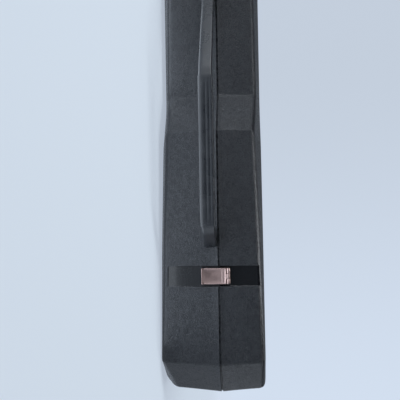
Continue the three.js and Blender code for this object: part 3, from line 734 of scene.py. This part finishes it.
def hinge_leaf(side):
    """A leaf below (side -1) or above (side 1) its pin, with the pin along X at zero."""
    parity = 0 if side < 0 else 1
    outline = leaf_outline(
        hinge_width, -hinge_leaf_height, hinge_corner, hinge_knuckles, parity,
        -hinge_gap, -hinge_knuckle_radius - hinge_clearance)
    lean = Matrix.Translation((0, -hinge_knuckle_radius, 0)) @ Matrix.Rotation(-math.atan(draft), 4, "X")
    plate = pressed_plate(outline, hinge_leaf_thickness, hinge_edge)
    row = knuckle_row(hinge_width, hinge_knuckles, parity, hinge_knuckle_radius, hinge_bore, hinge_edge)
    return together(moved(plate, Matrix.Scale(-side, 4, (0, 0, 1)) @ lean), row)


def pin(name, body, node, radius):
    """A steel pin with slightly domed ends."""
    low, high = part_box(node)
    half, dome = (high.x - low.x) / 2, radius * pin_dome
    rod = lathe(mirrored([(-half, radius * pin_end), (dome - half, radius)]), knuckle_sides)
    return add_piece(name, shifted(rod, (low + high) / 2), body, "steel", node)


nickel_pieces = []
steel_pieces = []
for number in (1, 2):
    low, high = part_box(f"hinge_{number}_pin")
    hinge_width = high.x - low.x
    for half, side in (("base", -1), ("lid", 1)):
        nickel_pieces.append(add_piece(
            f"hinge_{number}_{half}_plate", shifted(hinge_leaf(side), (low + high) / 2), half, "nickel",
            f"hinge_{number}_{half}_leaf", sharp=35))
    steel_pieces.append(pin(f"hinge_{number}_rod", "base", f"hinge_{number}_pin", (high.z - low.z) / 2))

# Snap latches
# Three pressed nickel-plated latches in the channels of the handle edge. A leaf is riveted to the lid
# and a strike with a bead to the base; the flap hangs from the leaf and snaps down over the bead.
latch_knuckle_radius = 0.0026
latch_bore = 0.0014
latch_plate = 0.0012
latch_seat = latch_knuckle_radius - latch_plate
latch_notch = -latch_knuckle_radius - hinge_clearance
latch_knuckles = 3
latch_edge = 0.0003
latch_corner = 0.0015
flap_inner = -0.0003
flap_outer = -0.0023
flap_edge = 0.0007
flap_rim = 0.0012
flap_sunk = 0.00035
panel_start = (0.0042, 0.0049)       # above the low end of the flap
panel_end = (-0.0042, -0.0036)       # below the pin
lip_height = 0.0016
lip_length = 0.0034
lip_nose = 0.0012
lip_curl = 1.5
flap_lines = (-0.0095, -0.0062)
flap_line_width = 0.0009
flap_line_depth = 0.4 * flap_sunk
strike_high = -0.016
bead_width = 0.003
bead_inset = 0.003
bead_height = 0.0007
bead_corner = 0.48 * bead_width
bead_edge = 0.95 * bead_height


def panel_edges(low):
    """Where the sunk panel of a flap starts, is fully sunk, rises and ends."""
    return [*(low + rise for rise in panel_start), *panel_end]


def flap_ring(z, low, high):
    """One ring round the flap at a height from its pin: rounded edges, a raised rim and a sunk panel."""
    from_end = min(z - low, high - z)
    corner = max(flap_edge - from_end, 0)
    drop = flap_edge - math.sqrt(max(flap_edge ** 2 - corner ** 2, 0))
    half = latch_width / 2 - drop
    nose = max(lip_nose - (z - low), 0)
    face = flap_outer + max(drop, lip_nose - math.sqrt(max(lip_nose ** 2 - nose ** 2, 0)))
    lip = lip_height * min(max(low + lip_length - z, 0) / lip_length, 1) ** lip_curl
    panel = flap_sunk * np.interp(z, panel_edges(low), [0, 1, 1, 0])
    for line in flap_lines:
        panel += flap_line_depth * max(0, 1 - abs(z - line) / flap_line_width)
    inside, inner, sunk = half - flap_rim, flap_edge * round_share, face + panel
    front = [
        (half, flap_inner), (half, face + flap_edge), (half - inner, face + inner),
        (half - flap_edge, face), (inside, face), (inside - 2 * flap_sunk, sunk), (inside / 2, sunk)]
    points = [*front, (0, sunk), *((-x, y) for x, y in reversed(front))]
    return np.array([(x, y - lip, z) for x, y in points])


def latch_flap():
    """A flap in one piece with its knuckle: a lifted lip, a sunk panel and two pressed lines."""
    low, high = flap_low, latch_notch
    marks = set(panel_edges(low))
    for start, reach, shares in (
            (low, flap_edge, (0, 0.12, 0.35, 0.65, 1)), (high, -flap_edge, (0, 0.12, 0.35, 0.65, 1)),
            (low, lip_nose, (0.1, 0.25, 0.5, 0.75)), (low, lip_length, (0.45, 0.55, 0.7, 0.85, 1)),
            *((line, flap_line_width, (-1, -0.4, 0, 0.4, 1)) for line in flap_lines)):
        marks |= {start + reach * share for share in shares}
    plate = stack([flap_ring(z, low, high) for z in sorted(marks)])
    tab_half = latch_width / latch_knuckles / 2 - hinge_clearance
    tab = pressed_plate(
        [(-tab_half, high - latch_edge), (tab_half, high - latch_edge), (tab_half, 0), (-tab_half, 0)],
        flap_inner - flap_outer, latch_edge / 2)
    row = knuckle_row(latch_width, latch_knuckles, 1, latch_knuckle_radius, latch_bore, latch_edge)
    return together(plate, shifted(tab, (0, flap_outer, 0)), row)


def latch_leaf():
    """The leaf that carries a flap, flat on the floor of the channel."""
    outline = leaf_outline(latch_width, leaf_low, latch_corner, latch_knuckles, 0, 0, latch_notch)
    plate = pressed_plate(outline, latch_plate, latch_edge)
    row = knuckle_row(latch_width, latch_knuckles, 0, latch_knuckle_radius, latch_bore, latch_edge * 2)
    return together(shifted(plate, (0, latch_seat, 0)), row)


def rounded_outline(half, low, high, corner):
    """An oblong with rounded corners in X and Z."""
    right, left, upper, lower = half - corner, corner - half, high - corner, low + corner
    middles = (right, upper), (left, upper), (left, lower), (right, lower)
    line = []
    for turn, (x, z) in enumerate(middles):
        line += quarter(x, z, corner, turn * math.pi / 2)
    return line


def latch_strike():
    """The strike on the base, with the bead that the lip of the flap snaps over."""
    half = latch_width / 2
    outline = rounded_outline(half, strike_low, strike_high, latch_corner)
    bead_outline = rounded_outline(half - bead_inset, strike_high - bead_width, strike_high, bead_corner)
    plate = pressed_plate(outline, latch_plate, latch_edge)
    bead = pressed_plate(bead_outline, bead_height + latch_plate / 2, bead_edge)
    return together(shifted(plate, (0, latch_seat, 0)), shifted(bead, (0, latch_seat - bead_height, 0)))


for number in (1, 2, 3):
    low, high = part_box(f"latch_{number}_pin")
    axis_place = (low + high) / 2
    latch_width = high.x - low.x
    flap_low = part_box(f"latch_{number}_flap")[0].z - axis_place.z
    leaf_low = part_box(f"latch_{number}_leaf")[0].z - axis_place.z
    strike_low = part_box(f"latch_{number}_strike")[0].z - axis_place.z
    for kind, form, body in (
            ("leaf", latch_leaf(), "lid"), ("strike", latch_strike(), "base"),
            ("flap", latch_flap(), f"latch_flap_{number}")):
        nickel_pieces.append(add_piece(
            f"latch_{number}_{kind}_plate", shifted(form, axis_place), body, "nickel",
            f"latch_{number}_{kind}", sharp=32))
    steel_pieces.append(pin(f"latch_{number}_rod", "lid", f"latch_{number}_pin", (high.z - low.z) / 2))

# Rivets
# Domed nickel rivets hold every leaf and strike to its shell. Their shanks pass through the wall and
# are spread over on the inside.
rivet_head = 0.0026
rivet_head_height = 0.0012
rivet_shank = 0.0014
rivet_tail = 0.0024
rivet_tail_height = 0.0009
rivet_dome_turns = np.linspace(0.25, 1.45, 8)
rivet_tail_shares = [(1, 0.75), (0.6, 1), (0, 1)]
rivet_sides = 28


def rivet_form(grip):
    """A rivet along +X, with the seat of its head at zero."""
    head = [(rivet_head_height * math.sin(t), rivet_head * math.cos(t)) for t in rivet_dome_turns]
    tail = [(-grip - rivet_tail_height * out, rivet_tail * wide) for out, wide in rivet_tail_shares]
    return lathe([*tail, (-grip, rivet_shank), (0, rivet_shank), (0, rivet_head), *head], rivet_sides)


def square_to_wall(side):
    """The way along Y that stands square on a drafted wall of the base (side -1) or the lid (side 1)."""
    lean = math.atan(draft)
    return Vector((0, math.cos(lean), side * math.sin(lean)))


def add_rivet(node, body, seat, outward, thickness):
    """A rivet whose head sits on a plate of some thickness."""
    turn = Vector((1, 0, 0)).rotation_difference(Vector(outward)).to_matrix().to_4x4()
    form = moved(rivet_form(wall + thickness + hinge_gap), Matrix.Translation(seat) @ turn)
    nickel_pieces.append(add_piece(f"{node}_turned", form, body, "nickel", node))


for number in (1, 2, 3):
    for kind, body in (("strike", "base"), ("leaf", "lid")):
        for side in (1, 2):
            node = f"latch_{number}_{kind}_rivet_{side}"
            low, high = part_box(node)
            middle = (low + high) / 2
            seat = (middle.x, low.y + rivet_head_height, middle.z)
            add_rivet(node, body, seat, (0, -1, 0), latch_plate)
for number in (1, 2):
    for half, side in (("base", -1), ("lid", 1)):
        outward = square_to_wall(side)
        for nth in (1, 2):
            node = f"hinge_{number}_{half}_rivet_{nth}"
            low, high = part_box(node)
            along = (low.z + high.z) / 2 - lap_middle
            foot = Vector(((low.x + high.x) / 2, back_wall - abs(along) * draft, lap_middle + along))
            seat = foot + outward * (hinge_leaf_thickness + hinge_gap)
            add_rivet(node, half, seat, outward, hinge_leaf_thickness)


def brushing():
    """Fine parallel scratches of polishing, and the softer blotches that fingers leave on metal."""
    group, taken, given, place = new_group(
        "brushing", {"Line": 0.0005, "Blotch": 0.012}, ["Lines", "Blotches"])
    drawn = put(group, "ShaderNodeMapping", {"Vector": place, "Scale": (0.04, 1.0, 1.0)}).outputs[0]
    feed(group, given, {
        "Lines": spread(group, grains(group, drawn, taken["Line"], 3.0), 0.3, 0.7),
        "Blotches": spread(group, grains(group, place, taken["Blotch"], 4.0), 0.3, 0.7)})
    return group


brushing_group = brushing()


def plated_metal(name, bright, dull, smooth, rough, line):
    """Satin metal: brushed, blotched by fingers, darker in its dirt and brighter on rubbed edges."""
    material, tree, surface = new_material(name)
    brush = placed(tree, brushing_group, Line=line, Blotch=0.011)
    marks = placed(tree, handling_group, Smudge=0.018, Scratch=0.006)
    wear = placed(tree, edge_wear_group, Reach=0.0005, Amount=0.6)["Mask"]
    base = tint(tree, brush["Blotches"], bright, dull)
    lined = tint(tree, times(tree, brush["Lines"], 0.25), base, [0.7 * part for part in dull])
    dirty = tint(tree, times(tree, marks["Dust"], 0.3), lined, (0.12, 0.11, 0.10))
    worn = tint(tree, wear, dirty, [min(1.15 * part, 0.95) for part in bright])
    polish = spread(tree, brush["Blotches"], 0, 1, smooth, rough)
    scuffed = calc(tree, "ADD", polish, times(tree, marks["Scratches"], 0.15))
    height = times(tree, brush["Lines"], 0.000008)
    feed(tree, surface, {
        "Base Color": worn, "Metallic": 1.0, "Roughness": scuffed, "Normal": relief(tree, height, 0.6)})
    return material


nickel = plated_metal("nickel", (0.61, 0.445, 0.41), (0.54, 0.39, 0.36), 0.42, 0.52, 0.0005)
for piece in nickel_pieces:
    piece.data.materials.append(nickel)
steel = plated_metal("steel", (0.47, 0.47, 0.48), (0.36, 0.36, 0.37), 0.32, 0.50, 0.0009)
for piece in steel_pieces:
    piece.data.materials.append(steel)

# Handle
# One rigid moulded bar of black plastic that stands off the handle edge, with a long slope to the
# neck side. The grip between its two bends is a slightly thicker sleeve with fine moulding lines.
# Screws through the wall hold both feet from inside.
handle_low, handle_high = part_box("handle")
handle_z = (handle_low.z + handle_high.z) / 2
handle_half_width = (handle_high.z - handle_low.z) / 2
handle_half = 0.0095
grip_y = handle_low.y + handle_half
grip_start = tail_x - 0.243
grip_end = grip_start - 0.201
lower_run = 0.027
upper_run = 0.156
bend_reach = 0.016
bend_steps = 10
sleeve_low = grip_end + 0.35 * bend_reach
sleeve_high = grip_start - 0.1 * bend_reach
sleeve_step = 0.0009
sleeve_slope = 0.0022
section_rounds = (0.0012, 0.0042)
underside_trim = 0.0008
moulding_lines = (0.0004, 0.0054)
moulding_line_half = 0.0006
moulding_line_depth = 0.0002
moulding_line_fade = 0.02
section_turns = np.linspace(0, math.pi / 2, 7)
handle_step = 0.006
foot_sink = 0.001
grip_middle = (grip_start + grip_end) / 2


def handle_path():
    """Points along the middle of the bar, rounded at both bends."""
    ends = [
        np.array((grip_start + lower_run, middle_y - tail_half_width + handle_half)),
        np.array((grip_start, grip_y)), np.array((grip_end, grip_y)),
        np.array((grip_end - upper_run, middle_y - neck_half_width + handle_half))]
    line = [ends[0]]
    for before, corner, after in zip(ends, ends[1:], ends[2:]):
        start = corner + unit(before - corner) * bend_reach
        end = corner + unit(after - corner) * bend_reach
        line += list(bend(start, corner, end, bend_steps))
    line.append(ends[-1])
    dense = []
    for here, following in zip(line, line[1:]):
        steps = max(round(np.linalg.norm(following - here) / handle_step), 1)
        dense += [here + (following - here) * step / steps for step in range(steps)]
    return dense + [line[-1]]


def bar_section(half_out, half_wide, lined):
    """The bar's section, counted round from its front: how far out and how far towards the lid."""
    upper, lower = [[
        (half_out - r + r * math.cos(t), half - r + r * math.sin(t)) for t in section_turns]
        for r, half in zip(section_rounds, (half_wide, half_wide - underside_trim))]
    back = [(-out, wide) for out, wide in reversed(upper)]
    under = [(-out, -wide) for out, wide in lower]
    front = [(out, -wide) for out, wide in reversed(lower)]
    lines = []
    for place in moulding_lines:
        depth = moulding_line_depth * lined
        lines += [(half_out, place - moulding_line_half), (half_out - depth, place)]
        lines.append((half_out, place + moulding_line_half))
    return [*upper, *back, *under, *front, *lines]


def share_between(x, low, high, fade):
    """1 between two places along the bar, and less over a short way past them."""
    return np.interp(x, [low - fade, low, high, high + fade], [0, 1, 1, 0])


def handle_bar():
    """Rings of the bar, thicker along the grip sleeve."""
    path = handle_path()
    rings = []
    for index, here in enumerate(path):
        way = unit(path[min(index + 1, len(path) - 1)] - path[max(index - 1, 0)])
        out = np.array((-way[1], way[0]))
        out = out if out[1] < 0 else -out
        slack = sleeve_step * (1 - share_between(here[0], sleeve_low, sleeve_high, sleeve_slope))
        line_ends = sleeve_low + moulding_line_fade, sleeve_high - moulding_line_fade
        lined = share_between(here[0], *line_ends, moulding_line_fade)
        section = bar_section(handle_half - slack, handle_half_width - slack, lined)
        rings.append(np.array([(*(here + out * reach), handle_z + wide) for reach, wide in section]))
    return stack(rings)


def trimmed(form, half_width, low_x, high_x):
    """Cuts a foot off just inside the wall of the base, between two places along X."""
    work = bmesh.new()
    made = [work.verts.new(point) for point in form[0]]
    for face in form[1]:
        work.faces.new([made[corner] for corner in face])
    near = [face for face in work.faces if low_x < face.calc_center_median().x < high_x]
    near += {part for face in near for part in (*face.edges, *face.verts)}
    inward = square_to_wall(1)       # the front wall of the base leans as the back wall of the lid does
    point = Vector((0, middle_y - half_width, seam_z)) + inward * foot_sink
    cut = bmesh.ops.bisect_plane(work, geom=near, plane_co=point, plane_no=inward, clear_outer=True)
    rims = [line for line in cut["geom_cut"] if isinstance(line, bmesh.types.BMEdge)]
    bmesh.ops.holes_fill(work, edges=rims)
    return form_of(work)


bar = trimmed(handle_bar(), tail_half_width, grip_middle, tail_x)
bar = trimmed(bar, neck_half_width, head_x, grip_middle)
handle_bar_piece = add_piece("handle_bar", bar, "base", "handle_plastic", "handle", sharp=50)


def handle_plastic():
    """The same black plastic with a finer grain, rubbed smooth and a little glossy where it is held."""
    material, tree, surface = new_material("handle_plastic")
    grain = placed(tree, leather_grain_group, Pebble=0.0011, Fold=0.009)
    wear = placed(tree, edge_wear_group, Reach=0.0011, Amount=0.6)["Mask"]
    marks = placed(tree, handling_group, Smudge=0.03, Scratch=0.010)
    base = tint(tree, marks["Smudges"], (0.018, 0.020, 0.024), (0.028, 0.030, 0.035))
    colour = carried(tree, marks, wear, base, (0.06, 0.062, 0.07), (0.11, 0.11, 0.12), 0.2)
    rough = spread(tree, marks["Smudges"], 0, 1, 0.26, 0.38)
    height = times(tree, grain["Height"], 0.00005)
    feed(tree, surface, {
        "Base Color": colour, "Roughness": rough, "IOR": 1.5, "Normal": relief(tree, height, 0.7)})
    return material


handle_bar_piece.data.materials.append(handle_plastic())
for node in ("handle_screw_1", "handle_screw_2", "handle_screw_3", "handle_screw_4",
             "handle_lower_backing_plate", "handle_upper_backing_plate"):
    for holder in bpy.data.objects[node].material_slots:
        holder.material = steel

# Padding of the base
# A block of foam under short dark plush, glued into the base, with pockets for the body, neck and head
# of the guitar and a well for small things. Its edges are soft, and the plush is slightly uneven.
plush_wave = 0.03
plush_swell = 0.0007
puff_pressure = 4
puff_frames = 20


def puffed(piece, reach, seat):
    """Foam that presses its cover out, by a cloth simulation. Points below the seat stay flat, and no
    point moves further than the reach."""
    before = coordinates(piece.data.vertices, "co")
    seated = piece.vertex_groups.new(name="seated")
    seated.add([int(index) for index in np.flatnonzero(before[:, 2] < seat)], 1.0, "REPLACE")
    cloth = piece.modifiers.new("puff", "CLOTH")
    cloth.settings.vertex_group_mass = "seated"
    cloth.settings.use_pressure = True
    cloth.settings.uniform_pressure_force = puff_pressure
    cloth.settings.effector_weights.gravity = 0
    cloth.point_cache.frame_start, cloth.point_cache.frame_end = 1, puff_frames
    for frame in range(1, puff_frames + 1):
        bpy.context.scene.frame_set(frame)
    shaped = piece.evaluated_get(bpy.context.evaluated_depsgraph_get()).data
    move = coordinates(shaped.vertices, "co") - before
    piece.modifiers.clear()
    piece.vertex_groups.clear()
    length = np.linalg.norm(move, axis=1)[:, None]
    move *= np.minimum(1, reach / np.maximum(length, 1e-9))
    piece.data.vertices.foreach_set("co", (before + move).ravel())
    piece.data.update()
    bpy.context.scene.frame_set(1)


def nap(place):
    """How far the pile of the plush lies under its highest parts."""
    return -plush_swell * (1 + noise.noise((place / plush_wave).tolist())) / 2


def plush_form(name, node, body, voxel, smoothing, reach):
    """A foam piece under plush: the solid's own form with softened edges and a slightly uneven pile."""
    mesh = bpy.data.objects[node].data.copy()
    mesh.materials.clear()
    piece = new_object(name, mesh)
    remesh = piece.modifiers.new("remesh", "REMESH")
    remesh.mode, remesh.voxel_size = "VOXEL", voxel
    smooth = piece.modifiers.new("smooth", "SMOOTH")
    smooth.factor, smooth.iterations = 0.5, smoothing
    shaped = bpy.data.meshes.new_from_object(piece.evaluated_get(bpy.context.evaluated_depsgraph_get()))
    piece.modifiers.clear()
    piece.data = shaped
    if reach:
        puffed(piece, reach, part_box(node)[0].z + voxel)
    swell(shaped, nap)
    shaped.shade_smooth()
    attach(piece, body)
    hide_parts(node)
    return piece


# Each pad with its node, body, voxel, rounds of smoothing, and how far its foam may press out
plush_pieces = [plush_form(*pad) for pad in (
    ("base_padding", "base_insert", "base", 0.004, 6, 0),
    ("neck_rest_padding", "neck_rest", "base", 0.0025, 5, 0.0016),
    ("compartment_lid_padding", "compartment_lid", "compartment_lid", 0.0015, 3, 0.0012))]


def plush():
    """Short dark pile, lighter where it is brushed the other way, with lint and a soft sheen."""
    material, tree, surface = new_material("plush")
    place = put(tree, "ShaderNodeTexCoord").outputs["Object"]
    pile = grains(tree, place, 0.0007, 3.0)
    brushed = spread(tree, grains(tree, place, 0.035, 3.0), 0.35, 0.65)
    flat_pile = (0.030, 0.022, 0.027)
    base = tint(tree, brushed, flat_pile, (0.062, 0.048, 0.056))
    tufted = tint(tree, spread(tree, pile, 0.35, 0.65), [0.6 * part for part in flat_pile], base)
    lint = spread(tree, grains(tree, place, 0.0016, 0.0), 0.72, 0.78)
    feed(tree, surface, {
        "Base Color": tint(tree, times(tree, lint, 0.5), tufted, (0.20, 0.18, 0.19)), "Roughness": 0.95,
        "Sheen Weight": 0.5, "Sheen Roughness": 0.45, "Sheen Tint": (0.55, 0.48, 0.52, 1),
        "Normal": relief(tree, times(tree, pile, 0.0006), 0.9)})
    return material


plush_material = plush()

# Ribbon tab of the compartment
# A short flat strap of woven ribbon, sewn to the edge of the small compartment's lid, to lift it by.
# Its free end stands up a little, so that fingers find it.
tab_low, tab_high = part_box("compartment_tab")
ribbon_steps = 20
ribbon_edge = 0.0002
ribbon_rise = 0.0025
ribbon_sewn = 0.35       # share of its length that is sewn flat


def ribbon_ring(share):
    """One ring across the ribbon: its free end lifts a little, in a soft curve."""
    y = tab_high.y + (tab_low.y - tab_high.y) * share
    lift = ribbon_rise * max(share - ribbon_sewn, 0) ** 2
    low, high = tab_low.z + lift, tab_high.z + lift
    round_end = min(share, 1 - share) * (tab_high.y - tab_low.y)
    inset = max(ribbon_edge - round_end, 0)
    left, right = tab_low.x + inset, tab_high.x - inset
    third = (high - low) / 3
    around = [
        (left + ribbon_edge, low), (left, low + third), (left, high - third),
        (left + ribbon_edge, high), ((left + right) / 2, high), (right - ribbon_edge, high),
        (right, high - third), (right, low + third), (right - ribbon_edge, low),
        ((left + right) / 2, low)]
    return np.array([(x, y, z) for x, z in around])


strap = stack([ribbon_ring(share) for share in np.linspace(0, 1, ribbon_steps + 1)])
ribbon_tab = add_piece(
    "compartment_ribbon", strap, "compartment_lid", "ribbon", "compartment_tab", sharp=60)


def ribbon():
    """Woven ribbon: fine ribs across it, crossed by the threads along it."""
    material, tree, surface = new_material("ribbon")
    place = put(tree, "ShaderNodeTexCoord").outputs["Object"]
    across, along = [
        put(tree, "ShaderNodeTexWave", {
            "Vector": place, "Scale": scale, "Distortion": 0.4, "Detail Scale": 3.0},
            bands_direction=way).outputs["Fac"] for way, scale in (("Y", 420.0), ("X", 600.0))]
    woven = times(tree, across, spread(tree, along, 0, 1, 0.5, 1.0))
    base = tint(tree, woven, (0.010, 0.010, 0.012), (0.034, 0.034, 0.038))
    fluff = spread(tree, grains(tree, place, 0.004), 0.6, 0.8)
    feed(tree, surface, {
        "Base Color": tint(tree, fluff, base, (0.05, 0.05, 0.055)), "Roughness": 0.7,
        "Normal": relief(tree, times(tree, woven, 0.00015), 0.8)})
    return material


ribbon_tab.data.materials.append(ribbon())

# Padding of the lid
# Plush over thin foam on the walls of the lid, and a thicker pad on its broad face, crowned inside a
# sewn seam. It is one liner, glued into the lid.
liner_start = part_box("lid_liner")[0].z - lid_seam_z
liner_fit = 0.0004
liner_wall = 0.003
liner_crown = 0.011
liner_seat = 0.0003
liner_edge = 0.0008
face_profile = [
    (0.0015, 0.0006), (0.0028, 0.0006), (0.0036, -0.0002), (0.0042, -0.0012), (0.0048, -0.0002),
    (0.0056, 0.0009), (0.0080, 0.0018), (0.0110, 0.0024), (0.0145, 0.0028), (0.0185, 0.0030),
]


def liner_rings(inside, crown):
    """Rings of one side of the liner, without the two next to the rim, where it doesn't reach."""
    return surface_rings(lid_shoulders, lid_depth, 1, lid_seam_z, inside, crown, True)[2:]


def raised_ring(inset, above_start):
    """A ring at a height above the lower edge of the liner."""
    height = liner_start + above_start
    return level_ring(inset + draft * height, lid_seam_z + height, True)


def lid_liner():
    """The whole liner as one soft form: its walls, its rolled edge and its thick face."""
    back, front = wall + liner_fit, wall + liner_fit + liner_wall
    crown = wall + liner_seat + liner_crown
    outer = liner_rings(back, wall + liner_seat)
    inner = liner_rings(front, crown)
    edge = [raised_ring(back, liner_edge), raised_ring(back + liner_edge, 0),
            raised_ring(front - liner_edge, 0), raised_ring(front, liner_edge)]
    face_z = inner[-1][0][2]
    starts = [section(lid_shoulders[zone], lid_depth, front, crown)[-1][0] for zone in corner_zones]
    face = [plan_ring([start + inset for start in starts], [face_z - rise] * len(corners))
            for inset, rise in face_profile]
    rings = [*reversed(outer), *edge, *inner, *face]
    for ring in rings:
        ring[:, 1] += middle_y
    return stack(rings)


liner = add_piece("lid_padding", lid_liner(), "lid", "plush", "lid_liner", sharp=50)
swell(liner.data, nap)
plush_pieces.append(liner)
for piece in plush_pieces:
    piece.data.materials.append(plush_material)

# Table, backdrop and light
# A pale table and a pale room, dark overhead and behind the camera for all rays but the camera's own.
# Three large soft lamps, above and beyond both ends, and three glowing panels under the handle edge.
camera_place = Vector((0.2733, -1.0222, 0.1252))
camera_turn = Vector((0.0783, -0.0181, -0.0164))
camera_focus = 616.4
picture_side = 400
sensor_width = 36
camera_data = bpy.data.cameras.new("camera")
camera_data.sensor_width = sensor_width
camera_data.lens = camera_focus / picture_side * sensor_width
camera_data.clip_start = 0.01
camera = new_object("camera", camera_data)
turned = Quaternion(camera_turn.normalized(), camera_turn.length).inverted()
ways = [turned @ Vector(way) for way in ((0, 0, 1), (-1, 0, 0), (0, -1, 0))]
camera.matrix_world = Matrix.Translation(camera_place) @ Matrix(ways).transposed().to_4x4()
bpy.context.scene.camera = camera
bpy.context.scene.view_settings.view_transform = "Standard"

table_reach = 30.0
table_colour = (0.645, 0.725, 0.845)
head_end_colour = (0.55, 0.62, 0.72)
tail_end_colour = (0.65, 0.74, 0.87)
ceiling_colour = (0.13, 0.14, 0.155)
behind_colour = (0.03, 0.03, 0.035)
table_paint = (0.88, 0.96, 1.0)
table_drop = 0.0003
# Ranges in metres on the table, and of the way's X, Y or Z in the room
backdrop_range = (-0.25, 0.35)
table_range = (0.8, 4.0)
lit_range = (0.7, 1.7)
glow_near = 0.62
mirrored_glow = 0.9
dark_range = (-1.9, -3.4)
darkest = 0.95
ceiling_range = (0.22, 0.45)
behind_range = (-0.2, -0.9)


def backdrop_colour(tree, way_x):
    """The pale backdrop is a little brighter towards the tail end of the case."""
    return tint(tree, spread(tree, way_x, *backdrop_range), head_end_colour, tail_end_colour)


def glow_share(tree, path, distance):
    """How much of the table's plain colour each ray sees: the rest is lit, and keeps the shadow."""
    mirrored = calc(tree, "MAXIMUM", path["Is Glossy Ray"], path["Is Transmission Ray"])
    seen = times(tree, path["Is Camera Ray"], spread(tree, distance, *lit_range, glow_near, 1.0))
    return calc(tree, "MAXIMUM", seen, times(tree, mirrored, mirrored_glow))


def dark_share(tree, path, way_y):
    """How dark the table is for mirrored rays, far behind the camera."""
    return times(tree, path["Is Glossy Ray"], spread(tree, way_y, *dark_range, 0.0, darkest))


def pale_table():
    """Matt paint mixed with a plain glow, so that the table runs into the backdrop."""
    material, tree, surface = new_material("pale_table")
    place = put(tree, "ShaderNodeTexCoord").outputs["Object"]
    path = put(tree, "ShaderNodeLightPath").outputs
    distance = put(tree, "ShaderNodeVectorMath", {0: place}, operation="LENGTH").outputs["Value"]
    side = put(tree, "ShaderNodeSeparateXYZ", {0: place}).outputs
    far = backdrop_colour(tree, calc(tree, "DIVIDE", side["X"], distance))
    colour = tint(tree, spread(tree, distance, *table_range), table_colour, far)
    dimmed = tint(tree, dark_share(tree, path, side["Y"]), colour, behind_colour)
    feed(tree, surface, {"Base Color": (*table_paint, 1), "Roughness": 0.9, "Specular IOR Level": 0.1})
    glow = put(tree, "ShaderNodeEmission", {"Color": dimmed, "Strength": 1.0}).outputs[0]
    mixed = put(tree, "ShaderNodeMixShader", {
        0: glow_share(tree, path, distance), 1: surface.outputs[0], 2: glow}).outputs[0]
    feed(tree, tree.nodes["Material Output"], {"Surface": mixed})
    return material


table_corners = [(x * table_reach, y * table_reach, cad_box[0].z - table_drop)
                 for x, y in ((-1, -1), (1, -1), (1, 1), (-1, 1))]
table_mesh = bpy.data.meshes.new("table")
table_mesh.from_pydata(table_corners, [], [(0, 1, 2, 3)])
table_mesh.materials.append(pale_table())
table = new_object("table", table_mesh)


def pale_room():
    """A pale backdrop all round, which lights the case less from above and from behind the camera."""
    world = bpy.data.worlds.new("room")
    world.use_nodes = True
    bpy.context.scene.world = world
    tree = world.node_tree
    way = put(tree, "ShaderNodeTexCoord").outputs["Generated"]
    side = put(tree, "ShaderNodeSeparateXYZ", {0: way}).outputs
    backdrop = backdrop_colour(tree, side["X"])
    high = tint(tree, spread(tree, side["Z"], *ceiling_range), backdrop, ceiling_colour)
    lit = tint(tree, spread(tree, side["Y"], *behind_range), high, behind_colour)
    seen = put(tree, "ShaderNodeLightPath").outputs["Is Camera Ray"]
    room = tint(tree, seen, lit, backdrop)
    feed(tree, tree.nodes["Background"], {"Color": room, "Strength": 1.0})


pale_room()
lamp_target = Vector((0.1, middle_y, seam_z))


def soft_lamp(name, place, size, power, colour):
    """An oblong lamp aimed at the case, which the camera doesn't see."""
    lamp = bpy.data.lights.new(name, "AREA")
    lamp.shape = "RECTANGLE"
    lamp.size, lamp.size_y = size
    lamp.energy = power
    lamp.color = colour
    holder = new_object(name, lamp)
    holder.visible_camera = False
    holder.location = place
    holder.rotation_euler = (lamp_target - Vector(place)).to_track_quat("-Z", "Y").to_euler()
    return holder


soft_lamp("lamp_above", (0.25, -0.2, 1.8), (2.8, 0.4), 22.0, (0.90, 0.95, 1.0))
soft_lamp("lamp_head_end", (-1.6, -0.9, 0.6), (1.2, 1.2), 18.0, (0.93, 0.97, 1.0))
soft_lamp("lamp_tail_end", (1.9, 0.05, 0.25), (1.4, 0.8), 3.0, (0.93, 0.96, 1.0))
for name, low, high, drop, glow in (
        ("panel_body", (0.02, -0.38), (0.46, -0.169), 0.00010, 1.5),
        ("panel_ramp_foot", (0.02, -0.152), (0.10, -0.108), 0.00005, 2.2),
        ("panel_ramp", (-0.22, -0.138), (0.02, -0.108), 0.00005, 2.2)):
    side_x, side_y = high[0] - low[0], high[1] - low[1]
    middle = ((low[0] + high[0]) / 2, (low[1] + high[1]) / 2, cad_box[0].z - drop)
    power = glow * math.pi * side_x * side_y
    panel = soft_lamp(name, middle, (side_x, side_y), power, (0.83, 0.91, 1.0))
    panel.rotation_euler = (math.pi, 0, 0)      # facing up
